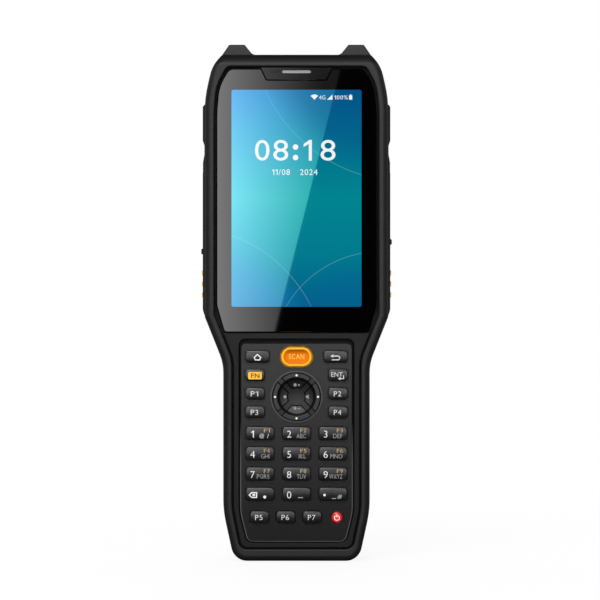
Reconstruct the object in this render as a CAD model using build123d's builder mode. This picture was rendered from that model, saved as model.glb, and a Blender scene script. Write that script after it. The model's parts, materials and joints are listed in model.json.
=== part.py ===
from build123d import *
import os

# Rugged hand-held barcode data terminal: touch screen in a wide head, waisted keypad grip.
# Millimetres. X runs right, Z runs up, the screen faces -Y. The origin is at the middle of the
# flat bottom end, midway through the depth.

# ---- Driving dimensions: face ----
screen_width = 52.0
screen_height = 86.8
screen_border = 6.0             # black border of the glass beside the screen
screen_top_border = 8.4         # glass above the screen
screen_bottom_border = 10.2     # glass below the screen
rim_width = 4.8                 # frame beside the glass
rim_top = 5.8                   # frame above the glass
glass_groove = 0.9              # open groove between rim and glass
insert_groove = 0.8             # open groove between rim and keypad insert
glass_gap = 0.4                 # between glass and insert
grip_rim_width = 3.55           # frame beside the keypad insert
rim_bottom = 4.9
rim_chamfer = 0.35
insert_width = 3.2              # insert and its groove beside the keypad panel
insert_foot = 2.8               # the same below the panel
insert_head = 4.2               # between panel and glass
part_gap = 0.1                  # fit between parts that are laid into each other
panel_gap = 0.3
panel_top_groove = 1.4          # open groove above the keypad panel
shoulder_slope = 0.4            # sideways run per unit of height
shoulder_drop = 4.0             # from the screen's foot down to where the head starts to narrow
crown_inset = 7.0               # the head's top corner: flat top, knee, then side
crown_knee_inset = 3.0
crown_knee_drop = 4.4
crown_drop = 17.3
glass_corner_inset = 5.1        # the same for glass and window
glass_knee_inset = 0.9
glass_knee_drop = 6.8
glass_corner_drop = 17.2
glass_foot_inset = 3.1
window_foot_inset = 3.3
panel_foot_inset = 3.0
end_taper = 4.4                 # how much the grip narrows on each side at its bottom end
end_taper_height = 20.0
horn_rise = 4.1
horn_top_width = 6.2
horn_base_width = 13.2

# ---- Driving dimensions: keypad ----
digit_key_width = 11.4
digit_key_height = 5.7
digit_column_space = 3.2        # bare panel between two columns
digit_row_space = 2.4
function_row_space = 3.75       # above the bottom row
side_row_space = 3.1            # above the digit keys
side_key_space = 2.3            # beside the navigation ring
side_key_width = 7.8
side_key_height = 5.1
menu_key_width = 9.6
function_key_width = 7.6
function_key_height = 5.2
function_key_space = 2.95
scan_key_width = 12.8
scan_key_height = 8.2
power_key_radius = 2.5
power_key_space = 3.6
nav_radius = 9.75
nav_rim_width = 0.65
nav_hub_radius = 3.4
nav_bar_width = 1.9
nav_space = 1.5                 # bare panel round the navigation ring
side_key_margin = 2.1           # bare panel outside the keys
bottom_margin = 7.3
key_corner = 1.1
key_gap = 0.3                   # between a key and its hole
key_proud = 1.2
key_travel = 0.35
flange_reach = 0.7              # how far a key's flange lies under the panel
flange_thickness = 0.5

# ---- Driving dimensions: depth ----
total_depth = 29.2
scan_key_proud = 0.6            # above the rim
glass_recess = 0.6
insert_recess = 0.8
panel_recess = 1.0
glass_thickness = 1.1
glass_chamfer = 0.35
lcd_thickness = 3.1
panel_thickness = 1.5
panel_chamfer = 0.5
chassis_thickness = 1.5
chassis_lip = 1.5               # how far the chassis reaches under the rim
board_standoff = 1.3
board_thickness = 1.0
gasket_thickness = 0.4
frame_depth = 9.8
shell_depth = 14.8              # rear housing behind the split
edge_radius = 3.0               # rear edges of the body
front_edge_radius = 2.6
wall = 2.8
bay_floor = 2.0
bay_side_wall = 5.55            # rear housing beside the battery bay
battery_gap = 0.25
latch_travel = 2.5

# ---- Driving dimensions: sides ----
bumper_seat = 0.8               # depth of the seat in the side wall
bumper_proud = 0.9
bumper_fit = 0.05
bumper_height = 15.5            # along the depth of the body
side_button_length = 14.4
side_button_width = 7.0
side_button_travel = 0.5
side_button_gap = 0.25
cover_thickness = 1.6
cover_width = 8.6
cover_gap = 0.3
cover_lip = 0.75
left_cover_length = 19.2
right_cover_length = 12.6

# ---- Heights that follow ----
nav_rim_radius = nav_radius + nav_rim_width
digit_row_pitch = digit_key_height + digit_row_space
z_panel_bottom = rim_bottom + insert_foot
z_function_row = z_panel_bottom + bottom_margin + function_key_height / 2
z_last_digit_row = z_function_row + (function_key_height + digit_key_height) / 2 + function_row_space
z_first_digit_row = z_last_digit_row + 3 * digit_row_pitch
z_digits_top = z_first_digit_row + digit_key_height / 2
z_nav = z_digits_top + nav_space + nav_rim_radius
z_scan_key = z_nav + nav_rim_radius + nav_space + scan_key_height / 2
z_low_side_row = z_digits_top + side_row_space + side_key_height / 2
side_row_pitch = (z_scan_key - z_low_side_row) / 3
z_panel_top = z_scan_key + scan_key_height / 2 + nav_space
z_glass_bottom = z_panel_top + insert_head
z_screen_bottom = z_glass_bottom + screen_bottom_border
z_screen_top = z_screen_bottom + screen_height
z_glass_top = z_screen_top + screen_top_border
z_top = z_glass_top + rim_top
z_shoulder_top = z_screen_bottom - shoulder_drop
z_window_shoulder = z_shoulder_top + 0.8

# ---- Widths that follow, as distances from the middle ----
digit_column_pitch = digit_key_width + digit_column_space
side_key_x = nav_rim_radius + side_key_space + side_key_width / 2
side_key_edge = side_key_x + side_key_width / 2
menu_key_x = side_key_edge - 0.1 - menu_key_width / 2
panel_x = max(side_key_edge, digit_column_pitch + digit_key_width / 2 + 0.2) + side_key_margin
grip_window_x = panel_x + insert_width
grip_x = grip_window_x + grip_rim_width
glass_x = screen_width / 2 + screen_border
window_x = glass_x + glass_groove
head_x = glass_x + rim_width
z_shoulder_foot = z_shoulder_top - (head_x - grip_x) / shoulder_slope

# ---- Depths that follow, from front to back ----
y_front = -total_depth / 2
y_back = total_depth / 2
y_rim = y_front + scan_key_proud
y_glass = y_rim + glass_recess
y_insert = y_rim + insert_recess
y_panel = y_rim + panel_recess
y_panel_back = y_panel + panel_thickness
y_lcd = y_glass + glass_thickness
y_chassis = y_lcd + lcd_thickness
y_chassis_back = y_chassis + chassis_thickness
y_board = y_chassis_back + board_standoff
y_board_back = y_board + board_thickness
y_frame_back = y_rim + frame_depth
y_shell_front = y_frame_back + gasket_thickness
y_shell_back = y_shell_front + shell_depth


def front_plane(y):
    """Sketch plane at depth y, seen from the front: local x runs right, local y runs up."""
    return Plane.XZ.offset(-y)


def save(part, name):
    """Label a finished piece and write it as one STEP file."""
    part.label = name
    export_step(part, f"parts/{name}.step")


os.makedirs("parts", exist_ok=True)


# ==== Outlines, seen from the front ====

with BuildSketch() as body_outline:
    with BuildLine() as body_edge:
        FilletPolyline(
            (0, z_top),
            (head_x - crown_inset, z_top),
            (head_x - crown_knee_inset, z_top - crown_knee_drop),
            (head_x, z_top - crown_drop),
            (head_x, z_shoulder_top),
            (grip_x, z_shoulder_foot),
            (grip_x, end_taper_height),
            (grip_x - end_taper, 0),
            (0, 0),
            radius=[1.5, 14, 50, 3, 20, 45, 6.5],
        )
        mirror(about=Plane.YZ)
    make_face()

with BuildSketch() as window_outline:
    with BuildLine() as window_edge:
        FilletPolyline(
            (0, z_glass_top + glass_groove),
            (window_x - glass_corner_inset, z_glass_top + glass_groove),
            (window_x - glass_knee_inset, z_glass_top - glass_knee_drop),
            (window_x, z_glass_top - glass_corner_drop),
            (window_x, z_window_shoulder),
            (grip_window_x, z_window_shoulder - (window_x - grip_window_x) / shoulder_slope),
            (grip_window_x, end_taper_height + 1),
            (grip_window_x - window_foot_inset, rim_bottom),
            (0, rim_bottom),
            radius=[3, 18, 50, 4, 16, 30, 3.5],
        )
        mirror(about=Plane.YZ)
    make_face()

with BuildSketch() as glass_outline:
    with BuildLine() as glass_edge:
        FilletPolyline(
            (0, z_glass_top),
            (glass_x - glass_corner_inset, z_glass_top),
            (glass_x - glass_knee_inset, z_glass_top - glass_knee_drop),
            (glass_x, z_glass_top - glass_corner_drop),
            (glass_x, z_screen_bottom + 0.5),
            (glass_x - glass_foot_inset, z_glass_bottom),
            (0, z_glass_bottom),
            radius=[3, 18, 50, 6, 1.6],
        )
        mirror(about=Plane.YZ)
    make_face()

with BuildSketch() as panel_outline:
    with BuildLine() as panel_edge:
        FilletPolyline(
            (0, z_panel_top),
            (panel_x, z_panel_top),
            (panel_x, end_taper_height - 0.5),
            (panel_x - panel_foot_inset, z_panel_bottom),
            (0, z_panel_bottom),
            radius=[2.2, 25, 3],
        )
        mirror(about=Plane.YZ)
    make_face()


# ==== Earpiece trim: a trapezoid let into the top edge of the glass ====

earpiece_x = 14.2
earpiece_height = 4.3
earpiece_slot_x = 5.85
earpiece_slot_height = 1.3
z_earpiece_slot = z_glass_top - 1.15
z_earpiece_top = z_glass_top + glass_groove / 2
earpiece_fit = 0.15

with BuildSketch() as earpiece_outline:
    with BuildLine() as earpiece_edge:
        FilletPolyline(
            (0, z_earpiece_top),
            (earpiece_x, z_earpiece_top),
            (earpiece_x - 2.3, z_glass_top - earpiece_height),
            (0, z_glass_top - earpiece_height),
            radius=[0, 0.7],
        )
        mirror(about=Plane.YZ)
    make_face()

with BuildPart() as earpiece_cover:
    with BuildSketch(front_plane(y_lcd)):
        add(earpiece_outline.sketch)
    extrude(amount=y_lcd - y_glass + 0.2)
    with BuildSketch(front_plane(y_lcd)):
        with Locations((0, z_earpiece_slot)):
            SlotOverall(2 * earpiece_slot_x, earpiece_slot_height)
    extrude(amount=y_lcd - y_rim, mode=Mode.SUBTRACT)
save(earpiece_cover.part, "earpiece_cover")

# The receiver stands on the chassis; its dust screen looks out through the slot.
receiver_width = 15.0
receiver_height = 5.0
with BuildPart() as earpiece_speaker:
    with BuildSketch(front_plane(y_chassis)):
        with Locations((0, z_earpiece_slot + earpiece_slot_height / 2 - receiver_height / 2)):
            RectangleRounded(receiver_width, receiver_height, 1)
    extrude(amount=y_chassis - y_lcd - 0.1)
    with BuildSketch(front_plane(y_chassis)):
        with Locations((0, z_earpiece_slot)):
            SlotOverall(2 * earpiece_slot_x - 0.2, earpiece_slot_height - 0.2)
    extrude(amount=y_chassis - y_glass - 0.3)
save(earpiece_speaker.part, "earpiece_speaker")


# ==== Display: cover glass and LCD module ====

with BuildPart() as display_glass:
    with BuildSketch(front_plane(y_lcd)):
        add(glass_outline.sketch)
        with BuildSketch(mode=Mode.SUBTRACT):
            add(earpiece_outline.sketch)
            offset(amount=earpiece_fit, kind=Kind.INTERSECTION)
    extrude(amount=glass_thickness)
    chamfer(display_glass.faces().sort_by(Axis.Y)[0].edges(), length=glass_chamfer)
save(display_glass.part, "display_glass")

lcd_border = 1.4
lcd_tail_border = 3.2           # driver strip below the active area
with BuildPart() as lcd_panel:
    with BuildSketch(front_plane(y_chassis)):
        with Locations((0, (z_screen_top + z_screen_bottom + lcd_border - lcd_tail_border) / 2)):
            Rectangle(screen_width + 2 * lcd_border, screen_height + lcd_border + lcd_tail_border)
    extrude(amount=lcd_thickness)
save(lcd_panel.part, "lcd_panel")


# ==== Outer frame: raised rim all round, seat for the chassis behind it ====

seat_y_front = y_rim + 4.8
seat_y_back = seat_y_front + bumper_height
z_bumper_top = z_top - 19.8
z_bumper_bottom = z_shoulder_top + 0.1


def bumper_seat_blocks(reach):
    """The side bumpers' seats in the walls, as blocks reaching in from outside."""
    height = z_bumper_top - z_bumper_bottom
    z_middle = (z_bumper_top + z_bumper_bottom) / 2
    y_middle = (seat_y_front + seat_y_back) / 2
    for side in (-1, 1):
        with Locations((side * (head_x - bumper_seat + reach / 2), y_middle, z_middle)):
            Box(reach, bumper_height, height, mode=Mode.SUBTRACT)


with BuildPart() as outer_frame:
    with BuildSketch(front_plane(y_frame_back)):
        add(body_outline.sketch)
    extrude(amount=frame_depth)
    fillet(outer_frame.faces().sort_by(Axis.Y)[0].edges(), front_edge_radius)
    with BuildSketch(front_plane(y_frame_back)):
        add(window_outline.sketch)
    extrude(amount=frame_depth, mode=Mode.SUBTRACT)
    rim_face = outer_frame.faces().sort_by(Axis.Y)[0]
    chamfer(rim_face.inner_wires().edges(), length=rim_chamfer)
    with BuildSketch(front_plane(y_frame_back)):
        add(window_outline.sketch)
        offset(amount=chassis_lip + part_gap)
    extrude(amount=y_frame_back - y_chassis, mode=Mode.SUBTRACT)
    bumper_seat_blocks(4)
save(outer_frame.part, "outer_frame")


# ==== Insert between the glass, the rim and the keypad panel ====

with BuildPart() as front_insert:
    with BuildSketch(front_plane(y_chassis)):
        add(window_outline.sketch)
        offset(amount=-insert_groove)
        with Locations((0, z_glass_bottom - glass_gap)):
            Rectangle(4 * head_x, 4 * head_x, align=(Align.CENTER, Align.MAX), mode=Mode.INTERSECT)
        for rise in (0, panel_top_groove - panel_gap):
            with BuildSketch(mode=Mode.SUBTRACT):
                with Locations((0, rise)):
                    add(panel_outline.sketch)
                offset(amount=panel_gap)
    extrude(amount=y_chassis - y_insert)
    insert_face = front_insert.faces().sort_by(Axis.Y)[0]
    chamfer(insert_face.inner_wires().edges(), length=0.3)
save(front_insert.part, "front_insert")


# ==== Keys: where each one stands, and how big its cap is ====

def row_of_keys(names, xs, z, width, height):
    """Name, place and size of the keys of one row."""
    return [(name, x, z, width, height) for name, x in zip(names, xs)]


digit_columns = (-digit_column_pitch, 0, digit_column_pitch)
digit_rows = [z_first_digit_row - row * digit_row_pitch for row in range(4)]
digit_names = [("1", "2", "3"), ("4", "5", "6"), ("7", "8", "9"), ("backspace", "0", "symbol")]

keys = row_of_keys(("home", "back"), (-menu_key_x, menu_key_x), z_scan_key, menu_key_width, side_key_height)
for row, names in enumerate([("p3", "p4"), ("p1", "p2"), ("fn", "enter")]):
    z_row = z_low_side_row + row * side_row_pitch
    keys += row_of_keys(names, (-side_key_x, side_key_x), z_row, side_key_width, side_key_height)
for names, z_row in zip(digit_names, digit_rows):
    keys += row_of_keys(names, digit_columns, z_row, digit_key_width, digit_key_height)

# The bottom row, three function keys and the power key, is centred as a whole.
function_pitch = function_key_width + function_key_space
function_row_width = 2 * function_pitch + function_key_width + power_key_space + 2 * power_key_radius
first_function_x = (function_key_width - function_row_width) / 2
power_key_x = function_row_width / 2 - power_key_radius
function_xs = [first_function_x + column * function_pitch for column in range(3)]
keys += row_of_keys(
    ("p5", "p6", "p7"), function_xs, z_function_row, function_key_width, function_key_height
)


def nav_sector(angle, growth):
    """One quarter of the navigation ring, between the diagonal bars, grown or shrunk all round."""
    edge = nav_bar_width / 2 * 2**0.5
    reach = 2 * nav_radius
    with BuildSketch() as sector:
        with Locations((0, z_nav)):
            Circle(nav_radius)
            Circle(nav_hub_radius, mode=Mode.SUBTRACT)
        with Locations(Location((0, z_nav, 0), (0, 0, angle))):
            Polygon((0, edge), (reach, edge + reach), (-reach, edge + reach), align=None, mode=Mode.INTERSECT)
        offset(amount=growth, kind=Kind.INTERSECTION)
    return sector.sketch


y_flange = y_panel_back + 0.2
y_key_back = y_flange + flange_thickness
y_key_top = y_panel - key_proud

for name, x, z, width, height in keys:
    with BuildPart() as key:
        with BuildSketch(front_plane(y_flange)):
            with Locations((x, z)):
                RectangleRounded(width, height, key_corner)
        extrude(amount=y_flange - y_key_top)
        chamfer(key.faces().sort_by(Axis.Y)[0].edges(), length=0.35)
        with BuildSketch(front_plane(y_key_back)):
            with Locations((x, z)):
                Rectangle(width + 2 * flange_reach, height + 2 * flange_reach)
        extrude(amount=flange_thickness)
    save(key.part, f"key_{name}")

# The scan key: a stadium with a raised rim round a shallow dished top.
scan_key_rim = 0.9
scan_key_dish = 0.4
scan_flange_reach = 0.4
with BuildPart() as key_scan:
    with BuildSketch(front_plane(y_flange)):
        with Locations((0, z_scan_key)):
            SlotOverall(scan_key_width, scan_key_height)
    extrude(amount=y_flange - y_front)
    chamfer(key_scan.faces().sort_by(Axis.Y)[0].edges(), length=0.4)
    with BuildSketch(front_plane(y_front)):
        with Locations((0, z_scan_key)):
            SlotOverall(scan_key_width - 2 * scan_key_rim, scan_key_height - 2 * scan_key_rim)
    extrude(amount=-scan_key_dish, mode=Mode.SUBTRACT)
    with BuildSketch(front_plane(y_key_back)):
        with Locations((0, z_scan_key)):
            SlotOverall(scan_key_width + 2 * scan_flange_reach, scan_key_height + 2 * scan_flange_reach)
    extrude(amount=flange_thickness)
save(key_scan.part, "key_scan")

# The power key: a small domed button.
with BuildPart() as key_power:
    with BuildSketch(front_plane(y_flange)):
        with Locations((power_key_x, z_function_row)):
            Circle(power_key_radius)
    extrude(amount=y_flange - y_key_top)
    chamfer(key_power.faces().sort_by(Axis.Y)[0].edges(), length=0.8)
    with BuildSketch(front_plane(y_key_back)):
        with Locations((power_key_x, z_function_row)):
            Circle(power_key_radius + flange_reach)
    extrude(amount=flange_thickness)
save(key_power.part, "key_power")

# The four navigation keys share one dished ring: a raised outer band, sunk towards the hub.
nav_band = 2.0
nav_dish = 0.9
nav_dish_slope = 1.0            # width of the dish's sloping wall
nav_hub_rise = 0.2
nav_bar_drop = 0.2              # how far the bars between the keys lie below them
nav_flange_reach = 0.4
y_nav_bar = y_key_top + nav_bar_drop


def nav_dish_profile(y_band):
    """Half section of what the round dish takes away, below a raised outer band at depth y_band."""
    dish_radius = nav_radius - nav_band
    y_dish = y_band + nav_dish
    with BuildSketch(Plane.XY.offset(z_nav)) as profile:
        with BuildLine():
            Polyline(
                (0, y_band - 1),
                (dish_radius, y_band - 1),
                (dish_radius, y_band),
                (dish_radius - nav_dish_slope, y_dish),
                (nav_hub_radius, y_dish - nav_hub_rise),
                (0, y_dish - nav_hub_rise),
                close=True,
            )
        make_face()
    return profile.sketch


nav_axis = Axis((0, 0, z_nav), (0, 1, 0))
for name, angle in (("up", 0), ("left", 90), ("down", 180), ("right", 270)):
    with BuildPart() as nav_key:
        with BuildSketch(front_plane(y_flange)):
            add(nav_sector(angle, -key_gap))
        extrude(amount=y_flange - y_key_top)
        revolve(nav_dish_profile(y_key_top), axis=nav_axis, mode=Mode.SUBTRACT)
        with BuildSketch(front_plane(y_key_back)):
            add(nav_sector(angle, nav_flange_reach))
        extrude(amount=flange_thickness)
    save(nav_key.part, f"nav_{name}")


# ==== Keypad panel, standing on the chassis by its edge rib, and the silicone mat inside it ====

rib_width = 0.8
nav_rim_proud = 0.35
hole_corner = 0.7 * key_corner  # corner cut of a key's hole, clear of the cap's round corner

with BuildPart() as keypad_panel:
    with BuildSketch(front_plane(y_panel_back)):
        add(panel_outline.sketch)
    extrude(amount=panel_thickness)
    chamfer(keypad_panel.faces().sort_by(Axis.Y)[0].edges(), length=panel_chamfer)
    with BuildSketch(front_plane(y_chassis)):
        add(panel_outline.sketch)
        with BuildSketch(mode=Mode.SUBTRACT):
            add(panel_outline.sketch)
            offset(amount=-rib_width)
    extrude(amount=y_chassis - y_panel_back)
    with BuildSketch(front_plane(y_panel)):
        with Locations((0, z_nav)):
            Circle(nav_rim_radius)
    extrude(amount=nav_rim_proud)
    # The bars and hub between the navigation keys follow the keys' dish.
    with BuildSketch(front_plane(y_panel)):
        with Locations((0, z_nav)):
            Circle(nav_radius)
    extrude(amount=y_panel - y_nav_bar)
    revolve(nav_dish_profile(y_nav_bar), axis=nav_axis, mode=Mode.SUBTRACT)
    with BuildSketch(front_plane(y_nav_bar)) as keypad_holes:
        for name, x, z, width, height in keys:
            with Locations((x, z)):
                Rectangle(width + 2 * key_gap, height + 2 * key_gap)
        chamfer(keypad_holes.vertices(), length=hole_corner)
        with Locations((0, z_scan_key)):
            SlotOverall(scan_key_width + 2 * key_gap, scan_key_height + 2 * key_gap)
        with Locations((power_key_x, z_function_row)):
            Circle(power_key_radius + key_gap)
        for quarter in range(4):
            add(nav_sector(90 * quarter, 0))
    extrude(amount=y_nav_bar - y_panel_back, mode=Mode.SUBTRACT)
save(keypad_panel.part, "keypad_panel")

mat_thickness = 1.2
with BuildPart() as keymat:
    with BuildSketch(front_plane(y_chassis)):
        add(panel_outline.sketch)
        offset(amount=-rib_width - part_gap)
    extrude(amount=mat_thickness)
save(keymat.part, "keymat")


# ==== Chassis and main board ====

board_inset = 1.0
boss_radius = 2.4
boss_places = [
    (side * x, z)
    for side in (-1, 1)
    for x, z in (
        (window_x - 6.0, z_glass_top - 14.0),
        (window_x - 4.0, (z_screen_top + z_screen_bottom) / 2),
        (grip_window_x - 5.0, end_taper_height - 4.0),
    )
]

with BuildPart() as chassis:
    with BuildSketch(front_plane(y_chassis_back)):
        add(window_outline.sketch)
        offset(amount=chassis_lip)
    extrude(amount=chassis_thickness)
    with BuildSketch(front_plane(y_chassis_back)):
        with Locations(boss_places):
            Circle(boss_radius)
    extrude(amount=-board_standoff)
save(chassis.part, "chassis")

shield_height = 1.2
shield_width = window_x - boss_radius - 5.85
with BuildPart() as main_board:
    with BuildSketch(front_plane(y_board_back)):
        add(window_outline.sketch)
        offset(amount=-board_inset)
    extrude(amount=board_thickness)
    with BuildSketch(front_plane(y_board_back)):
        with Locations((1 - shield_width / 2, z_screen_top - 34), (shield_width / 2 - 2, z_screen_top - 48)):
            Rectangle(shield_width, 18)
        with Locations((0, z_first_digit_row + 10)):
            Rectangle(18, 22)
    extrude(amount=-shield_height)
save(main_board.part, "main_board")


# ==== Gasket in the split between frame and rear housing ====

gasket_inset = 1.2
gasket_width = 1.1
with BuildPart() as housing_gasket:
    with BuildSketch(front_plane(y_shell_front)):
        add(body_outline.sketch)
        offset(amount=-gasket_inset)
        with BuildSketch(mode=Mode.SUBTRACT):
            add(body_outline.sketch)
            offset(amount=-gasket_inset - gasket_width)
    extrude(amount=gasket_thickness)
save(housing_gasket.part, "housing_gasket")


# ==== Places on the rear housing ====

cavity_x = head_x - wall
y_cavity_back = y_shell_back - wall
battery_plug_depth = 8.2
y_bay = y_shell_back - battery_plug_depth
y_grip_cavity_back = y_bay - bay_floor
battery_width = 2 * (grip_x - bay_side_wall - battery_gap)
z_battery_bottom = end_taper_height - 4.0
z_battery_top = z_shoulder_top - 4.0
battery_flange = 2.6            # how far the pack's outer shell overlaps the bay on each side

hump_x = head_x - 9.0
z_hump_foot = z_top - 48.0
hump_slope = 7.0
hump_chamfer = 2.4

z_camera = z_top - 24.0
camera_window_width = 22.0
camera_window_height = 9.6
camera_window_thickness = 1.0
camera_x = -4.6
camera_radius = 3.6

z_speaker = z_shoulder_top + 24.0
grille_width = 26.0
grille_height = 8.0
grille_thickness = 0.9
speaker_width = 22.0
speaker_height = 12.0
speaker_depth = 4.0

scan_window_width = 30.0
scan_window_depth = 10.5
scan_window_thickness = 1.0
y_scan = 2.2
engine_width = 24.0
engine_depth = 10.0
engine_height = 13.0

y_side = 0.8                    # side keys and port covers are centred at this depth
z_side_button = z_shoulder_top + 13.2
button_flange = 1.0
button_flange_thickness = 0.8
x_cover_inner = head_x - bumper_seat + 0.15
x_cover_outer = x_cover_inner + cover_thickness
x_socket_mouth = x_cover_inner - 1.5
z_left_cover = z_shoulder_top + 25.3
z_right_cover = z_shoulder_top + 29.2
plug_depth = 0.9
plug_inset = 2.4
socket_depth = 7.0
usb_mouth = (8.6, 2.8)
usb_shell = (9.6, 3.8)
card_mouth = (12.0, 1.2)
card_shell = (13.4, 2.4)
socket_gap = 0.1
port_pocket_width = 5.6

contact_count = 6
contact_pitch = 3.0
contact_width = 1.6
contact_depth = 2.8
contact_recess = 0.6
contact_recess_margin = 0.5
y_contacts = (y_shell_front + y_grip_cavity_back) / 2


def side_plane(x):
    """Sketch plane on the right-hand side at x: local x runs back, local y runs up."""
    return Plane.YZ.offset(x)


def left_copy(part):
    """The same piece for the left-hand side."""
    return part.mirror(Plane.YZ)


screw_hole_radius = 2.3
screw_hole_depth = 1.2
screw_places = [
    (side * x, z)
    for side in (-1, 1)
    for x, z in (
        (hump_x + screw_hole_radius + 0.5, z_camera + 5.0),
        (head_x - edge_radius - screw_hole_radius - 0.5, z_shoulder_top + 14.0),
        (grip_x - 12.3, edge_radius + screw_hole_radius + 2.0),
    )
]


# ==== Rear housing: moulded shell with the battery bay, scanner hump and side openings ====

with BuildPart() as rear_housing:
    with BuildSketch(front_plane(y_shell_front)):
        add(body_outline.sketch)
    extrude(amount=-shell_depth)
    fillet(rear_housing.faces().sort_by(Axis.Y)[-1].edges(), edge_radius)
    # Hump over the scan engine and camera, sloping down to the waist.
    with BuildSketch(Plane.YZ):
        with BuildLine():
            Polyline(
                (y_shell_back - edge_radius, z_hump_foot),
                (y_shell_back, z_hump_foot),
                (y_back, z_hump_foot + hump_slope),
                (y_back, z_top - 3.5),
                (y_shell_back - edge_radius, z_top),
                close=True,
            )
        make_face()
    extrude(amount=hump_x, both=True)
    hump_back = rear_housing.faces().sort_by(Axis.Y)[-1]
    chamfer(hump_back.edges().filter_by(Axis.Z), length=hump_chamfer)
    # Main cavity: shallow in the grip, in front of the battery bay, deep in the head.
    with BuildSketch(front_plane(y_shell_front)):
        add(body_outline.sketch)
        offset(amount=-wall)
    extrude(amount=y_shell_front - y_grip_cavity_back, mode=Mode.SUBTRACT)
    with BuildSketch(front_plane(y_shell_front)):
        add(body_outline.sketch)
        offset(amount=-wall)
        with Locations((0, z_battery_top + wall)):
            Rectangle(4 * head_x, 2 * z_top, align=(Align.CENTER, Align.MIN), mode=Mode.INTERSECT)
    extrude(amount=y_shell_front - y_cavity_back, mode=Mode.SUBTRACT)
    # Battery bay, open to the back.
    with BuildSketch(front_plane(y_bay)):
        with Locations((0, (z_battery_bottom + z_battery_top) / 2)):
            RectangleRounded(
                battery_width + 2 * battery_gap, z_battery_top - z_battery_bottom + 2 * battery_gap, 4
            )
    extrude(amount=-battery_plug_depth, mode=Mode.SUBTRACT)
    # Bosses that clamp the main board against the chassis.
    with BuildSketch(front_plane(y_board_back)):
        with Locations(boss_places):
            Circle(boss_radius)
    extrude(until=Until.NEXT, target=rear_housing.part, dir=(0, 1, 0))
    # Counterbores of the six screws that hold the rear housing to the frame.
    with BuildSketch(front_plane(y_shell_back)):
        with Locations(screw_places):
            Circle(screw_hole_radius)
    extrude(amount=screw_hole_depth, mode=Mode.SUBTRACT)
    # Camera window pocket and the barrel's hole behind it.
    with BuildSketch(front_plane(y_back)):
        with Locations((0, z_camera)):
            SlotOverall(camera_window_width + 0.2, camera_window_height + 0.2)
    extrude(amount=camera_window_thickness + 0.2, mode=Mode.SUBTRACT)
    with BuildSketch(front_plane(y_back)):
        with Locations((camera_x, z_camera)):
            Circle(camera_radius + 0.2)
    extrude(amount=y_back - y_cavity_back, mode=Mode.SUBTRACT)
    # Loudspeaker grille seat and sound opening.
    with BuildSketch(front_plane(y_shell_back)):
        with Locations((0, z_speaker)):
            SlotOverall(grille_width + 0.2, grille_height + 0.2)
    extrude(amount=grille_thickness, mode=Mode.SUBTRACT)
    with BuildSketch(front_plane(y_shell_back)):
        with Locations((0, z_speaker)):
            SlotOverall(grille_width - 2.4, grille_height - 2.4)
    extrude(amount=wall, mode=Mode.SUBTRACT)
    # Scan window seat and light opening in the top end.
    with BuildSketch(Plane.XY.offset(z_top)):
        with Locations((0, y_scan)):
            RectangleRounded(scan_window_width + 0.2, scan_window_depth + 0.2, 1.6)
    extrude(amount=-scan_window_thickness - 0.3, mode=Mode.SUBTRACT)
    with BuildSketch(Plane.XY.offset(z_top)):
        with Locations((0, y_scan)):
            RectangleRounded(scan_window_width - 3, scan_window_depth - 3, 1)
    extrude(amount=-wall, mode=Mode.SUBTRACT)
    bumper_seat_blocks(4)
    # Side scan button slots, both sides.
    with BuildSketch(Plane.YZ):
        with Locations((y_side, z_side_button)):
            SlotOverall(
                side_button_length + 2 * side_button_gap, side_button_width + 2 * side_button_gap, rotation=90
            )
    extrude(amount=head_x, both=True, mode=Mode.SUBTRACT)
    # Dock contact recess and slots in the bottom end.
    with BuildSketch(Plane.XY):
        with Locations((0, y_contacts)):
            RectangleRounded(
                contact_count * contact_pitch + 2, contact_depth + 2 * contact_recess_margin, 1.2
            )
    extrude(amount=contact_recess, mode=Mode.SUBTRACT)
    with BuildSketch(Plane.XY):
        with Locations((0, y_contacts)):
            with GridLocations(contact_pitch, 1, contact_count, 1):
                Rectangle(contact_width + 2 * socket_gap, contact_depth + 2 * socket_gap)
    extrude(amount=wall, mode=Mode.SUBTRACT)
    # Port recesses: USB on the right, card slot on the left, each with its shell's hole behind.
    for side, z_cover, length, shell in (
        (1, z_right_cover, right_cover_length, usb_shell),
        (-1, z_left_cover, left_cover_length, card_shell),
    ):
        z_port = z_cover + length / 2
        with Locations((side * (x_cover_inner + 2), y_side, z_port)):
            Box(4, cover_width + 2 * cover_gap, length + 2 * cover_gap, mode=Mode.SUBTRACT)
        with Locations((side * (x_socket_mouth + 2), y_side, z_port)):
            Box(4, port_pocket_width, length - 2 * plug_inset + 2 * cover_gap, mode=Mode.SUBTRACT)
        with Locations((side * x_socket_mouth, y_side, z_port)):
            Box(8, shell[1] + 2 * socket_gap, shell[0] + 2 * socket_gap, mode=Mode.SUBTRACT)
save(rear_housing.part, "rear_housing")


# ==== Ports and their hinged rubber covers ====

def port_socket(z_port, mouth, shell):
    """A port's metal shell in the right-hand wall, open towards the side."""
    with BuildPart() as socket:
        with BuildSketch(side_plane(x_socket_mouth)):
            with Locations((y_side, z_port)):
                RectangleRounded(shell[1], shell[0], shell[1] / 3)
        extrude(amount=-socket_depth)
        with BuildSketch(side_plane(x_socket_mouth)):
            with Locations((y_side, z_port)):
                RectangleRounded(mouth[1], mouth[0], mouth[1] / 3)
        extrude(amount=-socket_depth + 1, mode=Mode.SUBTRACT)
    return socket.part


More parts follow.
